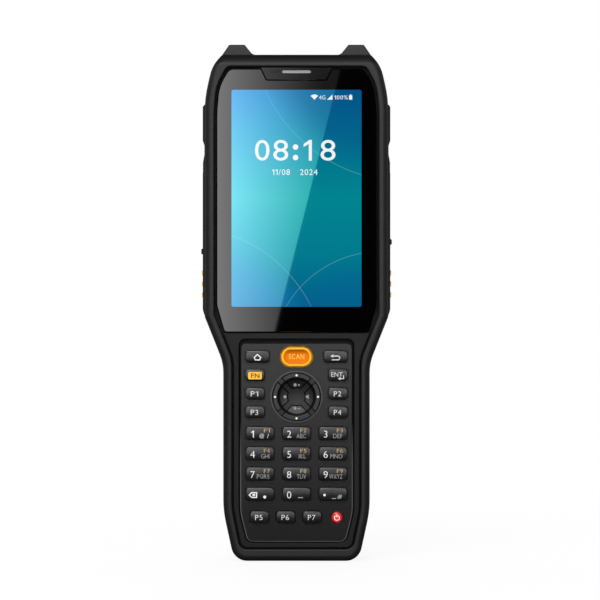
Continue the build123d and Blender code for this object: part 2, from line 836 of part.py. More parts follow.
def port_cover(z_cover, length):
    """Right-hand rubber cover: half-round hinge end at the top, pull lip below, plug inside."""
    hinge_radius = cover_thickness / 2
    z_hinge = z_cover + length - hinge_radius
    with BuildPart() as cover:
        with BuildSketch(front_plane(y_side - cover_width / 2)):
            with BuildLine():
                Polyline(
                    (x_cover_inner, z_hinge),
                    (x_cover_inner, z_cover),
                    (x_cover_outer + cover_lip, z_cover),
                    (x_cover_outer + cover_lip, z_cover + 1.8),
                    (x_cover_outer, z_cover + 2.4),
                    (x_cover_outer, z_hinge),
                )
                ThreePointArc(
                    (x_cover_outer, z_hinge),
                    (x_cover_inner + hinge_radius, z_hinge + hinge_radius),
                    (x_cover_inner, z_hinge),
                )
            make_face()
        extrude(amount=-cover_width)
        with BuildSketch(side_plane(x_cover_inner)):
            with Locations((y_side, z_cover + length / 2)):
                RectangleRounded(port_pocket_width - 2 * cover_gap, length - 2 * plug_inset, 1)
        extrude(amount=-plug_depth)
    return cover.part


z_usb = z_right_cover + right_cover_length / 2
z_card = z_left_cover + left_cover_length / 2
save(port_socket(z_usb, usb_mouth, usb_shell), "usb_socket")
save(left_copy(port_socket(z_card, card_mouth, card_shell)), "card_socket")
save(port_cover(z_right_cover, right_cover_length), "port_cover_right")
save(left_copy(port_cover(z_left_cover, left_cover_length)), "port_cover_left")


# ==== Side bumpers: stepped rubber strips with cut-outs for the side key and port cover ====

def side_bumper(z_cover, length):
    """Right-hand bumper strip with its cover opening at z_cover."""
    x_seat = head_x - bumper_seat + bumper_fit
    x_out = head_x + bumper_proud
    z_high = z_bumper_top - bumper_fit
    z_low = z_bumper_bottom + bumper_fit
    with BuildPart() as bumper:
        with BuildSketch(front_plane(seat_y_front + bumper_fit)):
            with BuildLine():
                Polyline(
                    (x_seat, z_high),
                    (head_x + 0.2, z_high),
                    (x_out, z_high - 0.8),
                    (x_out, z_high - 14.4),
                    (head_x + 0.2, z_high - 16.4),
                    (head_x + 0.2, z_high - 20.0),
                    (x_out - 0.1, z_high - 23.2),
                    (x_out - 0.1, z_high - 27.2),
                    (x_out, z_high - 27.6),
                    (x_out, z_low + 3.0),
                    (x_out - 0.2, z_low + 2.0),
                    (head_x, z_low),
                    (x_seat, z_low),
                    close=True,
                )
            make_face()
        extrude(amount=-bumper_height + 2 * bumper_fit)
        long_edges = bumper.edges().filter_by(Axis.Z).group_by(Axis.X)[-1]
        chamfer(long_edges, length=0.6)
        with Locations((head_x, y_side, z_cover + length / 2)):
            Box(4, cover_width + 2 * cover_gap, length + 2 * cover_gap, mode=Mode.SUBTRACT)
        with BuildSketch(side_plane(head_x - 2)):
            with Locations((y_side, z_side_button)):
                SlotOverall(
                    side_button_length + 2 * side_button_gap,
                    side_button_width + 2 * side_button_gap,
                    rotation=90,
                )
        extrude(amount=4, mode=Mode.SUBTRACT)
    return bumper.part


save(side_bumper(z_right_cover, right_cover_length), "side_bumper_right")
save(left_copy(side_bumper(z_left_cover, left_cover_length)), "side_bumper_left")


# ==== Side scan keys: ridged, with a flange behind the wall ====

ridge_height = 0.7
ridge_pitch = 4.4
ridge_width = 2.6
with BuildPart() as side_scan:
    x_face = x_cover_outer - 0.15
    with BuildSketch(side_plane(cavity_x - 0.3)):
        with Locations((y_side, z_side_button)):
            SlotOverall(side_button_length, side_button_width, rotation=90)
    extrude(amount=x_face - cavity_x + 0.3)
    with BuildSketch(front_plane(y_side)):
        for step in (-1, 0, 1):
            with Locations((x_face, z_side_button + step * ridge_pitch)):
                Trapezoid(ridge_width, ridge_height, 60, rotation=-90, align=(Align.CENTER, Align.MIN))
    extrude(amount=side_button_width / 2 - 0.8, both=True)
    with BuildSketch(side_plane(cavity_x - 0.3)):
        with Locations((y_side, z_side_button)):
            SlotOverall(
                side_button_length + 2 * button_flange, side_button_width + 2 * button_flange, rotation=90
            )
    extrude(amount=-button_flange_thickness)
save(side_scan.part, "key_side_right")
save(left_copy(side_scan.part), "key_side_left")


# ==== Top bumper: two horns either side of the scan window ====

horn_x = head_x - 7.0
with BuildPart() as top_bumper:
    with BuildSketch(front_plane(y_rim + edge_radius)):
        with BuildLine():
            FilletPolyline(
                (horn_x, z_top),
                (horn_x - 2.8, z_top + horn_rise),
                (horn_x - 2.8 - horn_top_width, z_top + horn_rise),
                (horn_x - horn_base_width + 1.4, z_top + 0.6),
                (horn_x - horn_base_width, z_top),
                radius=[0.8, 0.8, 1.6],
            )
            Line((horn_x - horn_base_width, z_top), (horn_x, z_top))
        make_face()
        mirror(about=Plane.YZ)
    extrude(amount=y_rim + 2 * edge_radius - y_shell_back)
    horn_fronts = top_bumper.faces().group_by(Axis.Y)[0]
    chamfer(horn_fronts.edges().filter_by(GeomType.LINE).group_by(Axis.Z)[-1], length=0.4)
save(top_bumper.part, "top_bumper")


# ==== Scanner: window and engine ====

with BuildPart() as scan_window:
    with BuildSketch(Plane.XY.offset(z_top - 0.3)):
        with Locations((0, y_scan)):
            RectangleRounded(scan_window_width, scan_window_depth, 1.5)
    extrude(amount=-scan_window_thickness)
save(scan_window.part, "scan_window")

z_engine_top = z_top - wall - 0.3
with BuildPart() as scan_engine:
    with Locations((0, y_scan, z_engine_top - engine_height / 2)):
        Box(engine_width, engine_depth, engine_height)
    with BuildSketch(Plane.XY.offset(z_engine_top)):
        with Locations((-5.5, y_scan)):
            Circle(3.2)
        with Locations((6, y_scan)):
            Rectangle(6, 4.5)
    extrude(amount=-2.5, mode=Mode.SUBTRACT)
save(scan_engine.part, "scan_engine")


# ==== Camera: window over barrel ====

with BuildPart() as camera_window:
    with BuildSketch(front_plane(y_back - 0.2)):
        with Locations((0, z_camera)):
            SlotOverall(camera_window_width, camera_window_height)
    extrude(amount=camera_window_thickness)
save(camera_window.part, "camera_window")

with BuildPart() as camera_module:
    with BuildSketch(front_plane(y_back - camera_window_thickness - 0.4)):
        with Locations((camera_x, z_camera)):
            Circle(camera_radius)
            Circle(1.6, mode=Mode.SUBTRACT)
    extrude(amount=1.2)
    with BuildSketch(front_plane(y_back - camera_window_thickness - 1.6)):
        with Locations((camera_x, z_camera)):
            Circle(camera_radius)
    extrude(amount=3.6)
save(camera_module.part, "camera_module")


# ==== Loudspeaker behind its slotted grille ====

grille_slots = 5
grille_pitch = 4.0
with BuildPart() as speaker_grille:
    with BuildSketch(front_plane(y_shell_back)):
        with Locations((0, z_speaker)):
            SlotOverall(grille_width, grille_height)
            with GridLocations(grille_pitch, 1, grille_slots, 1):
                SlotOverall(grille_height - 3.2, 1.3, rotation=90, mode=Mode.SUBTRACT)
    extrude(amount=grille_thickness - 0.1)
save(speaker_grille.part, "speaker_grille")

with BuildPart() as loudspeaker:
    with BuildSketch(front_plane(y_cavity_back - 0.1)):
        with Locations((0, z_speaker)):
            RectangleRounded(speaker_width, speaker_height, 2)
    extrude(amount=speaker_depth)
save(loudspeaker.part, "loudspeaker")


# ==== Battery pack: a tub that fills the bay under a crowned outer shell, with its slide latch ====

z_battery = (z_battery_bottom + z_battery_top) / 2
battery_height = z_battery_top - z_battery_bottom
shell_x = battery_width / 2 + battery_flange
shell_height = battery_height + 2 * battery_flange
y_battery_seat = y_shell_back + 0.2
cell_clearance = 0.2
cell_wall = 1.2

latch_width = 16.0
latch_height = 7.0
latch_depth = 1.6
latch_gap = 0.3
z_latch = z_battery_top - 6.5

with BuildPart() as battery_case:
    with BuildSketch(front_plane(y_bay + battery_gap)):
        with Locations((0, z_battery)):
            RectangleRounded(battery_width, battery_height, 3.8)
    extrude(amount=-(y_battery_seat - y_bay - battery_gap))
    with BuildSketch(front_plane(y_battery_seat)):
        with Locations((0, z_battery)):
            RectangleRounded(2 * shell_x, shell_height, 6)
    extrude(amount=y_battery_seat - y_back)
    chamfer(battery_case.faces().sort_by(Axis.Y)[-1].edges(), length=2.2)
    # Space for the cells, closed all round.
    with Locations((0, (y_bay + battery_gap + cell_wall + y_back - cell_wall - 2) / 2, z_battery)):
        Box(
            battery_width - 2 * cell_wall,
            y_back - 2 - y_bay - battery_gap - 2 * cell_wall,
            battery_height - 2 * cell_wall,
            mode=Mode.SUBTRACT,
        )
    # Latch recess, long enough for the latch to slide down.
    with BuildSketch(front_plane(y_back)):
        with Locations((0, z_latch - latch_travel / 2)):
            RectangleRounded(
                latch_width + 2 * latch_gap, latch_height + latch_travel + 2 * latch_gap, 1.2
            )
    extrude(amount=latch_depth, mode=Mode.SUBTRACT)
save(battery_case.part, "battery_case")

with BuildPart() as battery_cells:
    with Locations((0, (y_bay + battery_gap + cell_wall + y_back - cell_wall - 2) / 2, z_battery)):
        Box(
            battery_width - 2 * cell_wall - 2 * cell_clearance,
            y_back - 2 - y_bay - battery_gap - 2 * cell_wall - 2 * cell_clearance,
            battery_height - 2 * cell_wall - 2 * cell_clearance,
        )
save(battery_cells.part, "battery_cells")

with BuildPart() as battery_latch:
    with BuildSketch(front_plane(y_back - 0.1)):
        with Locations((0, z_latch)):
            RectangleRounded(latch_width, latch_height, 1)
    extrude(amount=latch_depth - 0.3)
    with BuildSketch(side_plane(0)):
        for step in range(-1, 2):
            with Locations((y_back - 0.1, z_latch + 1.8 * step)):
                Rectangle(0.9, 0.9, rotation=45)
    extrude(amount=latch_width / 2 - 2, both=True, mode=Mode.SUBTRACT)
save(battery_latch.part, "battery_latch")


# ==== Dock contacts in the bottom end ====

with BuildPart() as dock_contacts:
    with BuildSketch(Plane.XY.offset(0.3)):
        with Locations((0, y_contacts)):
            with GridLocations(contact_pitch, 1, contact_count, 1):
                RectangleRounded(contact_width, contact_depth, 0.5)
    extrude(amount=wall)
save(dock_contacts.part, "dock_contacts")
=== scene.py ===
import json
import math

import bmesh
import bpy
import numpy as np
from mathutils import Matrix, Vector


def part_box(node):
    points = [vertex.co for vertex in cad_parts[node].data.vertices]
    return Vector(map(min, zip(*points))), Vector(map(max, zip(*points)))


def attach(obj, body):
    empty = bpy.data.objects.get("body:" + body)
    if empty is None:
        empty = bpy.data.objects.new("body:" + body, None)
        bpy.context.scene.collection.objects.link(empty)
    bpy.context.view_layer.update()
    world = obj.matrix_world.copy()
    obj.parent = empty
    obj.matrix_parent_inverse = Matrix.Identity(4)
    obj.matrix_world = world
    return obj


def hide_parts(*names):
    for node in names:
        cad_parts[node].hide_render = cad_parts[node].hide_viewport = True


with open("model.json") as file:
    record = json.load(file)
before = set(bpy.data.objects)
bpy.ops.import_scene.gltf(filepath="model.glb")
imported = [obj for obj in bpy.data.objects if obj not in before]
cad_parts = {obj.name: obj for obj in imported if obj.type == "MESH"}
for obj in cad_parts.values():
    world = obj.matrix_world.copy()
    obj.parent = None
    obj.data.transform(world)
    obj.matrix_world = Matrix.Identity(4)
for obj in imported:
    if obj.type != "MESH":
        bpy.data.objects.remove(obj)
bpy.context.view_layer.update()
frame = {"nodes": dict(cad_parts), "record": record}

# ==== Studio: camera, floor, white surroundings, lamps and reflecting cards ====
# A long lens looks level at the face of the standing terminal. The floor is a pale sheet that
# keeps a faint shadow; the cards give the cover glass something to reflect.

MM = 0.001
glass_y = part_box("display_glass")[0].y
camera_distance = 1.0
camera_x = 0.0014
camera_z = 0.10456


class Field:
    """A number or colour that varies over a surface; arithmetic on it adds Math nodes."""

    def __init__(self, tree, socket):
        self.tree = tree
        self.socket = socket

    def node(self, kind, settings, sockets, out=0):
        """Adds one node: its settings first, then values or links for its sockets."""
        made = self.tree.nodes.new(kind)
        for key, value in settings.items():
            if key == "stops":
                ramp = made.color_ramp
                while len(ramp.elements) < len(value):
                    ramp.elements.new(1.0)
                for element, (position, colour) in zip(ramp.elements, value):
                    element.position = position
                    element.color = colour
            else:
                setattr(made, key, value)
        for key, value in sockets.items():
            if isinstance(value, Field):
                self.tree.links.new(value.socket, made.inputs[key])
            else:
                made.inputs[key].default_value = value
        return Field(self.tree, made.outputs[out])

    def math(self, operation, *terms):
        """One Math node over its terms, numbers or Fields, in their order."""
        return self.node("ShaderNodeMath", {"operation": operation}, dict(enumerate(terms)))

    def __add__(self, other):
        return self.math("ADD", self, other)

    def __sub__(self, other):
        return self.math("SUBTRACT", self, other)

    def __rsub__(self, other):
        return self.math("SUBTRACT", other, self)

    def __mul__(self, other):
        return self.math("MULTIPLY", self, other)

    def __truediv__(self, other):
        return self.math("DIVIDE", self, other)

    def __pow__(self, other):
        return self.math("POWER", self, other)

    def __abs__(self):
        return self.math("ABSOLUTE", self)

    __radd__ = __add__
    __rmul__ = __mul__

    def above(self, floor):
        """The larger of this number and floor."""
        return self.math("MAXIMUM", self, floor)

    def limited(self):
        """The same number kept between 0 and 1."""
        return self.math("MINIMUM", self, 1.0).above(0.0)

    def axes(self):
        """The three numbers of a vector."""
        split = self.node("ShaderNodeSeparateXYZ", {}, {0: self}).socket.node
        return [Field(self.tree, socket) for socket in split.outputs]

    def blend(self, low, high):
        """Colour that goes from low to high as this number goes from 0 to 1."""
        return self.node(
            "ShaderNodeMix", {"data_type": "RGBA"}, {0: self, 6: low, 7: high}, out=2
        )

    def feed(self, shader, socket):
        """Links this number or colour to a socket of a shader."""
        self.tree.links.new(self.socket, shader.inputs[socket])


def paint(code):
    """Linear colour of six hex digits."""
    parts = np.array([int(code[start:start + 2], 16) for start in (0, 2, 4)]) / 255
    linear = np.where(parts <= 0.04045, parts / 12.92, ((parts + 0.055) / 1.055) ** 2.4)
    return (*linear.tolist(), 1.0)


def link(name, mesh, material):
    """New object of a mesh in one material, at the origin."""
    made = bpy.data.objects.new(name, mesh)
    bpy.context.scene.collection.objects.link(made)
    mesh.materials.clear()
    mesh.materials.append(material)
    return made


def glowing(name):
    """Material of emission only, with its object coordinates as a Field and its output node."""
    material = bpy.data.materials.new(name)
    material.use_nodes = True
    tree = material.node_tree
    tree.nodes.clear()
    spot = Field(tree, tree.nodes.new("ShaderNodeTexCoord").outputs["Object"])
    return material, spot, tree.nodes.new("ShaderNodeOutputMaterial")


def shown_white(tree):
    """1 for the rays that should see plain white: straight, mirrored or through glass."""
    path = tree.nodes.new("ShaderNodeLightPath").outputs
    straight, mirrored_ray, through = (
        Field(tree, path[f"Is {kind} Ray"]) for kind in ("Camera", "Glossy", "Transmission")
    )
    return (straight + mirrored_ray + through).limited()


def card(name, corners, material):
    """Flat sheet through four corners, part of the studio."""
    mesh = bpy.data.meshes.new(name)
    mesh.from_pydata(corners, [], [(0, 1, 2, 3)])
    made = link(name, mesh, material)
    return made


def rectangle(low, high):
    """Four corners of an upright or level rectangle, from two opposite ones."""
    first, second = (axis for axis in range(3) if low[axis] != high[axis])
    corners = [list(low), list(low), list(high), list(low)]
    corners[1][first] = high[first]
    corners[3][second] = high[second]
    return corners


camera = bpy.data.objects.new("camera", bpy.data.cameras.new("camera"))
camera.data.lens = 150
camera.data.sensor_width = 36
camera.location = (camera_x, glass_y - camera_distance, camera_z)
camera.rotation_euler = (math.pi / 2, 0, 0)
bpy.context.scene.collection.objects.link(camera)
bpy.context.scene.camera = camera
bpy.context.scene.view_settings.view_transform = "Standard"

floor_half = 4.0
floor_near = 0.87
floor_fade = 0.35
floor_finish, spot, end = glowing("floor_white")
x, y, z = spot.axes()
spread = ((x * x + y * y) ** 0.5 / floor_fade).limited()
matte = spot.node("ShaderNodeBsdfDiffuse", {}, {"Color": paint("f4f4f4")})
glow = spot.node("ShaderNodeEmission", {}, {"Color": (1, 1, 1, 1), "Strength": 1.0})
share = shown_white(spot.tree) * (floor_near + (1 - floor_near) * spread)
spot.node("ShaderNodeMixShader", {}, {0: share, 1: matte, 2: glow}).feed(end, "Surface")
card("floor", rectangle((-floor_half, -floor_half, 0), (floor_half, floor_half, 0)), floor_finish)

fill_grey = (0.4, 0.4, 0.4, 1)
world = bpy.data.worlds.new("studio")
bpy.context.scene.world = world
world.use_nodes = True
tree = world.node_tree
tree.nodes.clear()
level = shown_white(tree).blend(fill_grey, (1, 1, 1, 1))
sky = level.node("ShaderNodeBackground", {}, {"Color": level})
sky.feed(tree.nodes.new("ShaderNodeOutputWorld"), "Surface")
lamp_aim = (0, 0, 0.1)


def softbox(name, place, width, height, watts):
    """Rectangular lamp at place, turned to face lamp_aim in the middle of the terminal."""
    lamp = bpy.data.lights.new(name, "AREA")
    lamp.shape = "RECTANGLE"
    lamp.size = width
    lamp.size_y = height
    lamp.energy = watts
    holder = bpy.data.objects.new(name, lamp)
    holder.location = place
    away = np.array(place) - lamp_aim
    away /= np.linalg.norm(away)
    holder.rotation_euler = (math.acos(away[2]), 0, math.atan2(away[0], -away[1]))
    bpy.context.scene.collection.objects.link(holder)


softbox("lamp_front", (0, -1.4, 0.35), 1.2, 0.9, 11)
softbox("lamp_back", (0, 1.3, 0.9), 1.2, 0.8, 9)
softbox("lamp_high", (-0.4, -0.9, 1.15), 0.9, 0.35, 10)
for side, sign in (("left", -1), ("right", 1)):
    softbox(f"lamp_{side}", (sign * 1.2, 0.8, 0.5), 0.5, 0.9, 3)

# Dark flags at the sides, behind, above and on the floor show only in reflections, and keep the
# rounded edges of the black body dark against the white. Another dark card stands where the
# glass mirrors the space behind the camera; the bright card before it has a slanted edge.
card_distance = 1.2
card_gap = 0.02
card_half = 37.0
card_low = 62.0
card_high = 202.0


def mirrored(x, z, distance=card_distance):
    """Point of a plane at this distance that the camera sees in the glass at x, z (mm): the
    place's offset from the camera's line grows as the whole path of the ray does."""
    scale = 1 + distance / camera_distance
    return (
        camera_x + (x * MM - camera_x) * scale,
        glass_y - distance,
        camera_z + (z * MM - camera_z) * scale,
    )


dark_finish, spot, end = glowing("card_dark")
spot.node("ShaderNodeEmission", {}, {"Color": (0, 0, 0, 1)}).feed(end, "Surface")
behind = card_distance + card_gap
flag_finish, spot, end = glowing("flag_grey")
spot.node("ShaderNodeEmission", {}, {"Color": (0.12, 0.12, 0.12, 1)}).feed(end, "Surface")
flag_x = 0.4
flag_back = 0.5
flag_front = -1.1
flag_top = 1.0
over_front = -0.1
floor_front = -0.8
floor_back = 0.2
floor_rise = MM / 4
flags = [
    card(f"flag_{name}", rectangle(low, high), material)
    for name, low, high, material in (
        ("left", (-flag_x, flag_front, 0), (-flag_x, flag_back, flag_top), flag_finish),
        ("right", (flag_x, flag_front, 0), (flag_x, flag_back, flag_top), flag_finish),
        ("behind", (-flag_x, flag_back, 0), (flag_x, flag_back, flag_top), dark_finish),
        ("over", (-flag_x, over_front, flag_top), (flag_x, flag_back, flag_top), dark_finish),
        ("floor", (-flag_x, floor_front, floor_rise), (flag_x, floor_back, floor_rise),
         dark_finish),
    )
]
card_foot = mirrored(-card_half, card_low, behind)
card_top = mirrored(card_half, card_high, behind)
dark_card = card("card_dark", rectangle(card_foot, card_top), dark_finish)
glare_foot_x = -16.45
glare_foot_z = 61.0
glare_rise = 145.0
glare_lean = 0.25
glare_full_x = -33.0
glare_end_x = 12.0
glare_least = 0.05
bright_finish, spot, end = glowing("card_bright")
x, y, z = spot.axes()
left_edge = mirrored(glare_full_x, 0)[0]
right_edge = mirrored(glare_end_x, 0)[0]
fading = 1 - ((x - left_edge) / (right_edge - left_edge)).limited()
tone = (glare_least + (1 - glare_least) * fading ** 1.6).blend((0, 0, 0, 1), (1, 1, 1, 1))
spot.node("ShaderNodeEmission", {}, {"Color": tone, "Strength": 4.9}).feed(end, "Surface")
bright_card = card(
    "card_bright",
    [mirrored(-card_half, glare_foot_z), mirrored(glare_foot_x, glare_foot_z),
     mirrored(glare_foot_x + glare_rise * glare_lean, glare_foot_z + glare_rise),
     mirrored(-card_half, glare_foot_z + glare_rise)],
    bright_finish,
)
for sheet in (*flags, dark_card, bright_card):
    sheet.visible_camera = False
    sheet.visible_diffuse = False
    sheet.visible_transmission = False
    sheet.visible_shadow = sheet is dark_card


# ==== Front frame: the raised rim round the glass and keypad ====
# Moulded polycarbonate with a fine spark-eroded texture, its lip slightly rounded over; the
# rear shell's screws clamp it. It and the other mouldings are merged copies of the CAD solids
# with softened edges.

def finish(name, colour, **constants):
    """Principled material with its constants on the shader's own sockets. Returns the material,
    the shader and the object coordinates in millimetres."""
    material = bpy.data.materials.new(name)
    material.use_nodes = True
    tree = material.node_tree
    shader = tree.nodes["Principled BSDF"]
    shader.inputs["Base Color"].default_value = colour
    for key, value in constants.items():
        shader.inputs[key.replace("_", " ")].default_value = value
    place = Field(tree, tree.nodes.new("ShaderNodeTexCoord").outputs["Object"])
    place = place.node("ShaderNodeMapping", {}, {"Vector": place, "Scale": (1000, 1000, 1000)})
    return material, shader, place


def noise(place, scale, **sockets):
    """Noise from 0 to 1, with about this many lumps to the millimetre."""
    return place.node("ShaderNodeTexNoise", {}, {"Vector": place, "Scale": scale, **sockets})


def grained(name, colour, rough, grain=4.0, depth=0.01, patch=0.06, tint=None, form=None,
            **constants):
    """Moulded plastic or rubber: a fine noise relief of depth millimetres, with gloss and tone
    that drift slowly. tint(colour, place) may change the colour over the surface; form(place)
    gives a broad relief in millimetres."""
    material, shader, place = finish(name, colour, **{"Specular_IOR_Level": 0.3, **constants})
    fine = noise(place, grain, Detail=3.0, Roughness=0.6)
    drift = noise(place, 0.09, Detail=2.0)
    (rough - 0.75 * patch + patch * drift + 0.5 * patch * fine).feed(shader, "Roughness")
    low = (*(0.86 * part for part in colour[:3]), 1)
    high = (*(min(1.0, 1.14 * part) for part in colour[:3]), 1)
    tone = (0.5 * fine + 0.5 * drift).blend(low, high)
    if tint:
        tone = tint(tone, place)
    tone.feed(shader, "Base Color")
    relief = {"Strength": 0.5, "Distance": depth * MM, "Height": fine}
    if form:
        relief["Normal"] = place.node(
            "ShaderNodeBump", {}, {"Strength": 1.0, "Distance": MM, "Height": form(place)}
        )
    place.node("ShaderNodeBump", {}, relief).feed(shader, "Normal")
    return material


body_of = {
    member: body
    for body, members in frame["record"]["behaviour"]["bodies"].items()
    for member in members
}


def place_for(piece, node):
    """The piece stands for a CAD node and rides on its body."""
    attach(piece, body_of[node])
    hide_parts(node)


def settle(work, mesh, turn):
    """Writes the work back to its mesh, smooth and sharp only where it turns by turn degrees."""
    for face in work.faces:
        face.smooth = True
    work.to_mesh(mesh)
    work.free()
    if "custom_normal" in mesh.attributes:
        mesh.attributes.remove(mesh.attributes["custom_normal"])
    mesh.set_sharp_from_angle(angle=math.radians(turn))


def moulded(name, node, material, edge=0.2, turn=32, steps=2):
    """Merged, smooth copy of a CAD node with whole flats; its sharp edges are rounded by edge
    millimetres."""
    mesh = frame["nodes"][node].data.copy()
    mesh.name = name
    work = bmesh.new()
    work.from_mesh(mesh)
    bmesh.ops.remove_doubles(work, verts=work.verts, dist=2e-6)
    bmesh.ops.dissolve_limit(
        work, angle_limit=math.radians(0.3), verts=work.verts, edges=work.edges
    )
    settle(work, mesh, turn)
    made = link(name, mesh, material)
    if edge:
        rounding = made.modifiers.new("edges", "BEVEL")
        rounding.width = edge * MM
        rounding.segments = steps
        rounding.limit_method = "ANGLE"
        rounding.angle_limit = math.radians(turn)
        weighting = made.modifiers.new("flats", "WEIGHTED_NORMAL")
        weighting.keep_sharp = True
    place_for(made, node)
    return made


roll_foot = 198.6
roll_bend = 0.275


def top_roll(place):
    """Height of the rim's top end: it falls by roll_bend times the square of the distance above
    roll_foot."""
    x, y, z = place.axes()
    above_flat = (z - roll_foot).above(0.0)
    return 0 - roll_bend * above_flat * above_flat


frame_plastic = grained(
    "frame_plastic", paint("161617"), 0.5, grain=3.5, depth=0.012, form=top_roll
)
moulded("front_frame", "outer_frame", frame_plastic, edge=0.2)

# ==== Insert between glass, rim and keypad plate ====
# Satin moulding that fills the front round and below the glass, fixed inside the frame. Open
# grooves run along both its sides.

insert_plastic = grained("insert_plastic", paint("0c0c0d"), 0.5, grain=5.0, depth=0.006,
                         Specular_IOR_Level=0.2)
moulded("keypad_surround", "front_insert", insert_plastic, edge=0.6, steps=3)

# ==== Keypad plate ====
# Satin black moulded plate with a slow crown, a hole for each key and a raised bead round the
# navigation keys. Its bars and hub between those keys share their dish. A painted highlight
# makes the bead and the chamfers of the plate's lower half paler.

nav_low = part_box("nav_left")[0] / MM
nav_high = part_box("nav_right")[1] / MM
nav_x0 = (nav_low.x + nav_high.x) / 2
nav_z0 = (nav_low.z + nav_high.z) / 2
nav_dish_radius = 7.75
nav_bowl = 1.5
nav_bead_radius = 10.2
nav_bead_half = 0.32
plate_z0 = 56.0
plate_crown = 0.0012
plate_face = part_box("front_insert")[0].y / MM + 0.2
plate_chamfer = 0.5
highlight_reach = 16.0


def dished(place):
    """Height of the bowl: nothing outside its radius, nav_bowl deep at the middle, and less by
    the square of the share of the radius between."""
    x, y, z = place.axes()
    away_x = x - nav_x0
    away_z = z - nav_z0
    inside = (1 - (away_x * away_x + away_z * away_z) / nav_dish_radius**2).above(0.0)
    return -nav_bowl * inside


def plate_relief(place):
    """Height of the plate: the bowl, less plate_crown times the square of the distance above or
    below plate_z0."""
    x, y, z = place.axes()
    away = z - plate_z0
    return dished(place) - plate_crown * away * away


def away_from(x0, z0, place):
    """Distance of each point from the line along y through x0, z0."""
    x, y, z = place.axes()
    return ((x - x0) * (x - x0) + (z - z0) * (z - z0)) ** 0.5


def worn_tint(tone, place):
    """Painted highlight: paler on the narrow bead round the navigation keys, and on the chamfers
    of the plate's lower half."""
    x, y, z = place.axes()
    middle = y - plate_face - plate_chamfer / 2
    chamfer = ((plate_chamfer / 2 - abs(middle)) * 12).limited()
    lower = ((plate_z0 - z) / highlight_reach).limited()
    tone = (chamfer * lower).blend(tone, paint("5c5c5e"))
    from_bead = abs(away_from(nav_x0, nav_z0, place) - nav_bead_radius)
    bead = ((nav_bead_half - from_bead) * 8).limited()
    return bead.blend(tone, paint("3e3e40"))


# The tint paints a highlight on the bead and on the lower chamfers.
plate_plastic = grained(
    "plate_plastic", paint("111112"), 0.45, grain=5.0, depth=0.006, tint=worn_tint,
    form=plate_relief,
)
moulded("keypad_plate", "keypad_panel", plate_plastic, edge=0.25)

# ==== Rear shell, gasket, horns and side strips ====
# The rear shell is the same textured moulding. Horns and side strips are harder rubber pads
# pressed into seats; the gasket shows as a thin dark line in the split.

shell_plastic = grained("shell_plastic", paint("1a1a1b"), 0.55, grain=3.0, depth=0.015)
moulded("rear_shell", "rear_housing", shell_plastic, turn=20)
gasket_rubber = grained("gasket_rubber", paint("0c0c0d"), 0.7, grain=6.0)
moulded("split_gasket", "housing_gasket", gasket_rubber, edge=0)
horn_rubber = grained("horn_rubber", paint("222223"), 0.55, grain=3.0, depth=0.015)
moulded("top_horns", "top_bumper", horn_rubber, edge=0.3)
strip_rubber = grained("strip_rubber", paint("131314"), 0.62, grain=3.0, depth=0.015)
for side in ("left", "right"):
    moulded(f"side_strip_{side}", f"side_bumper_{side}", strip_rubber)
    moulded(f"rubber_cover_{side}", f"port_cover_{side}", strip_rubber)

# ==== Side scan keys ====
# Orange moulded keys with three grip ridges, one on each side. Each sits in an opening of the
# rear shell and is pressed towards the middle.

trigger_orange = grained("trigger_orange", paint("f4ae20"), 0.42, grain=5.0, depth=0.006)
for side in ("left", "right"):
    moulded(f"trigger_{side}", f"key_side_{side}", trigger_orange, edge=0)

# ==== Cover glass with the lit screen ====
# Strengthened glass, printed black behind its border and glued in over a bright colour
# display. The picture is three broad soft arcs over a blue and teal ground. Left of the line
# where the bright card's slanted edge shows in the glass, the picture is lighter: a painted glare.

screen_half_x = 26.0
screen_low = 101.85
screen_high = 188.65
screen_corner = 0.8
arc_depth = 12.0
arc_line = 0.22
glass, shader, place = finish("cover_glass", (0.0005, 0.0005, 0.0005, 1), Roughness=0.02, IOR=1.5)
x, y, z = place.axes()
screen_mid = (screen_low + screen_high) / 2
screen_half_z = (screen_high - screen_low) / 2
past_x = (abs(x) - (screen_half_x - screen_corner)).above(0.0)
past_z = (abs(z - screen_mid) - (screen_half_z - screen_corner)).above(0.0)
lit = ((screen_corner - (past_x * past_x + past_z * past_z) ** 0.5) * 20 + 0.5).limited()
height = ((z - screen_low) / (2 * screen_half_z)).limited()


def tones_up(*stops):
    """Colour that runs from the foot of the screen to its top through the stops, each a share
    of the height and its colour."""
    stops = [(share, paint(code)) for share, code in stops]
    return height.node("ShaderNodeValToRGB", {"stops": stops}, {0: height})


left_tones = tones_up(
    (0.0, "009cd2"), (0.25, "20bcd8"), (0.5, "40d2e4"), (0.72, "34c0e4"), (1.0, "009ce2")
)
middle_tones = tones_up((0.0, "0088b0"), (0.25, "10a6b0"), (0.5, "24b2b0"), (1.0, "0078a8"))
right_tones = tones_up((0.0, "005e8c"), (0.25, "007a8e"), (0.5, "008490"), (1.0, "005488"))
# Painted glare: lighter tones left of the bright card's edge line, darker tones right of it.
painted_glare_edge_x = glare_foot_x + glare_lean * (z - glare_foot_z)
left_share = ((x + screen_half_x) / (painted_glare_edge_x + screen_half_x)).limited()
painted_glare_side = left_share.blend(left_tones, middle_tones)
right_share = ((x - painted_glare_edge_x) * 12).limited()
tones = right_share.blend(painted_glare_side, right_tones)


def arc_over(tones, centre, radius, shade, strength, rim):
    """Shades the picture inside a big circle, fully from arc_depth inside its edge, and draws a
    thin pale line along the edge."""
    inside = radius - away_from(*centre, place)
    within = (inside / arc_depth).limited() * (inside * 8).limited()
    tones = (strength * within).blend(tones, shade)
    line = (1 - abs(inside) / arc_line).limited()
    return (rim * line).blend(tones, paint("9fe6f2"))


